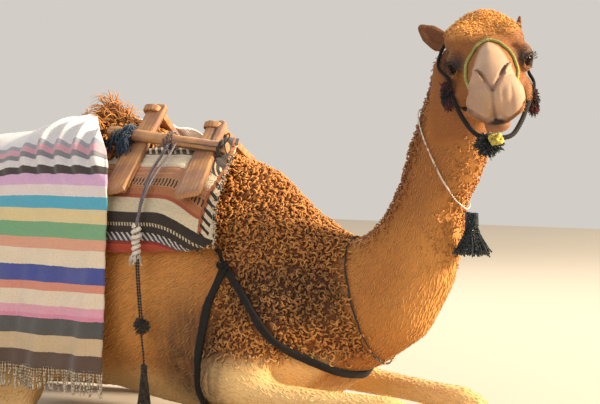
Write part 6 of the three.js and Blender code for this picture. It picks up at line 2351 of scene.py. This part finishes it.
class CAMEL_OT_coat(bpy.types.Operator):
    """Grows the wool and the short coat on the skin"""

    bl_idname = "camel.coat"
    bl_label = "Coat"

    def execute(self, context):
        skin = bpy.data.objects["skin"]
        settings = context.scene.camel
        points = points_of(skin)
        keys = ("wool", "crest", "bare", "head", "forehead", "open", "leg", "ear", "tuft", "tail")
        mask = {key: mask_of(skin, key) for key in keys}
        clear = mask["open"] * (1 - smooth(mask["bare"], 0.25, 0.6)) * smooth(points[:, 2], 0.006, 0.02)
        hair = coat_material("Camel hair, grown in locks", True, settings)
        curls = template_collection("curls", curl_lines(0.0128), 0.0042, 0.6, 0.6)
        fuzz = template_collection("fuzz", curl_lines(0.0078, steps=5), 0.0026, 0.7, 0.5)
        tufts = template_collection("tufts", tuft_lines(0.026, rise=0.1, sway=0.14), 0.0036, 0.8, 0.3)
        wisps = template_collection(
            "wisps", tuft_lines(0.058, steps=7, rise=0.55, sway=0.5), 0.0032, 0.9, 0.5
        )
        strands = template_collection(
            "strands", tuft_lines(0.105, steps=7, rise=0.1, sway=0.14), 0.0032, 0.85, 0.5
        )
        front, behind, ahead = points[:, 0] > 0.2, points[:, 0] < -0.02, points[:, 0] > -0.35
        not_wool, not_head = 1 - mask["wool"], 1 - mask["head"]
        short = not_wool * (1 - mask["crest"]) * not_head * (1 - mask["leg"])
        foreleg = mask["leg"] * not_head * not_wool * ahead
        hindleg = mask["leg"] * not_head * (1 - mask["tail"]) * ~ahead
        on_hump = mask["wool"] * behind * (1 - mask["tuft"])
        face = mask["head"] * (1 - mask["forehead"])
        hanging = 0.35 + 0.65 * smooth(-points[:, 2], -0.4, -0.2)
        wool, fur = settings.wool_spacing, settings.fur_spacing
        # where it grows, its size there, its locks, their spacing, their range of size, their disorder
        pieces = {
            "wool_hump": (on_hump, 1.2, curls, wool * 1.05, (0.8, 1.3), 1.0),
            "wool_tuft": (mask["tuft"], 1.0, wisps, 0.0085, (0.6, 1.25), 0.5),
            "tail_switch": (mask["tail"], hanging, strands, 0.0062, (0.6, 1.1), 0.12),
            "wool_shoulders": (mask["wool"] * ~behind, 1.0, curls, wool, (0.75, 1.3), 1.0),
            "wool_neck": (mask["crest"] * not_wool, 0.66, curls, wool, (0.7, 1.3), 0.6),
            "coat_neck": (short * front, 0.85, tufts, fur * 0.85, (0.7, 1.2), 0.1),
            "coat_body": (short * ~front, 1.0, tufts, fur, (0.7, 1.2), 0.1),
            "coat_forelegs": (foreleg, 0.7, tufts, fur * 0.9, (0.7, 1.2), 0.1),
            "coat_hindlegs": (hindleg, 0.75, tufts, fur * 0.9, (0.7, 1.2), 0.1),
            "coat_face": (face, 0.36 - 0.1 * mask["ear"], tufts, 0.0046, (0.7, 1.2), 0.1),
            "forelock": (mask["forehead"], 0.8, fuzz, 0.0044, (0.7, 1.3), 1.0),
        }
        for seed, (name, (growth, reach, locks, *rest)) in enumerate(pieces.items(), 1):
            reach = reach * np.ones(len(points))
            piece = grow_coat(skin, name, growth * clear, reach, locks, hair, seed, *rest)
            finish(piece, "wool" if "wool" in name else "coat")
        for collection in (curls, fuzz, tufts, wisps, strands):
            for template in list(collection.objects):
                bpy.data.objects.remove(template)
            bpy.data.collections.remove(collection)
        return {"FINISHED"}


class CAMEL_OT_stage(bpy.types.Operator):
    """Makes the floor, the lights and the world"""

    bl_idname = "camel.stage"
    bl_label = "Stage"

    def execute(self, context):
        make_stage()
        return {"FINISHED"}


class CAMEL_OT_camera(bpy.types.Operator):
    """Makes the camera"""

    bl_idname = "camel.camera"
    bl_label = "Camera"

    def execute(self, context):
        make_camera()
        return {"FINISHED"}


OPERATORS = [
    CAMEL_OT_camera,
    CAMEL_OT_cords,
    CAMEL_OT_skin,
    CAMEL_OT_coat,
    CAMEL_OT_eyes,
    CAMEL_OT_halter,
    CAMEL_OT_straps,
    CAMEL_OT_saddle,
    CAMEL_OT_pad,
    CAMEL_OT_blanket,
    CAMEL_OT_stage,
]


class CAMEL_PT_panel(bpy.types.Panel):
    """Lists the steps that build the model"""

    bl_label = "Couched dromedary"
    bl_idname = "CAMEL_PT_panel"
    bl_space_type = "VIEW_3D"
    bl_region_type = "UI"
    bl_category = "Camel"

    def draw(self, context):
        for name in CamelSettings.__annotations__:
            self.layout.prop(context.scene.camel, name)
        for operator in OPERATORS:
            self.layout.operator(operator.bl_idname)


CLASSES = [CamelSettings, *OPERATORS, CAMEL_PT_panel]


def register():
    for cls in CLASSES:
        bpy.utils.register_class(cls)
    bpy.types.Scene.camel = bpy.props.PointerProperty(type=CamelSettings)


def unregister():
    del bpy.types.Scene.camel
    for cls in reversed(CLASSES):
        bpy.utils.unregister_class(cls)


def main():
    register()
    for operator in OPERATORS:
        group, name = operator.bl_idname.split(".")
        getattr(getattr(bpy.ops, group), name)()
    bpy.context.view_layer.update()


if __name__ == "__main__":
    main()
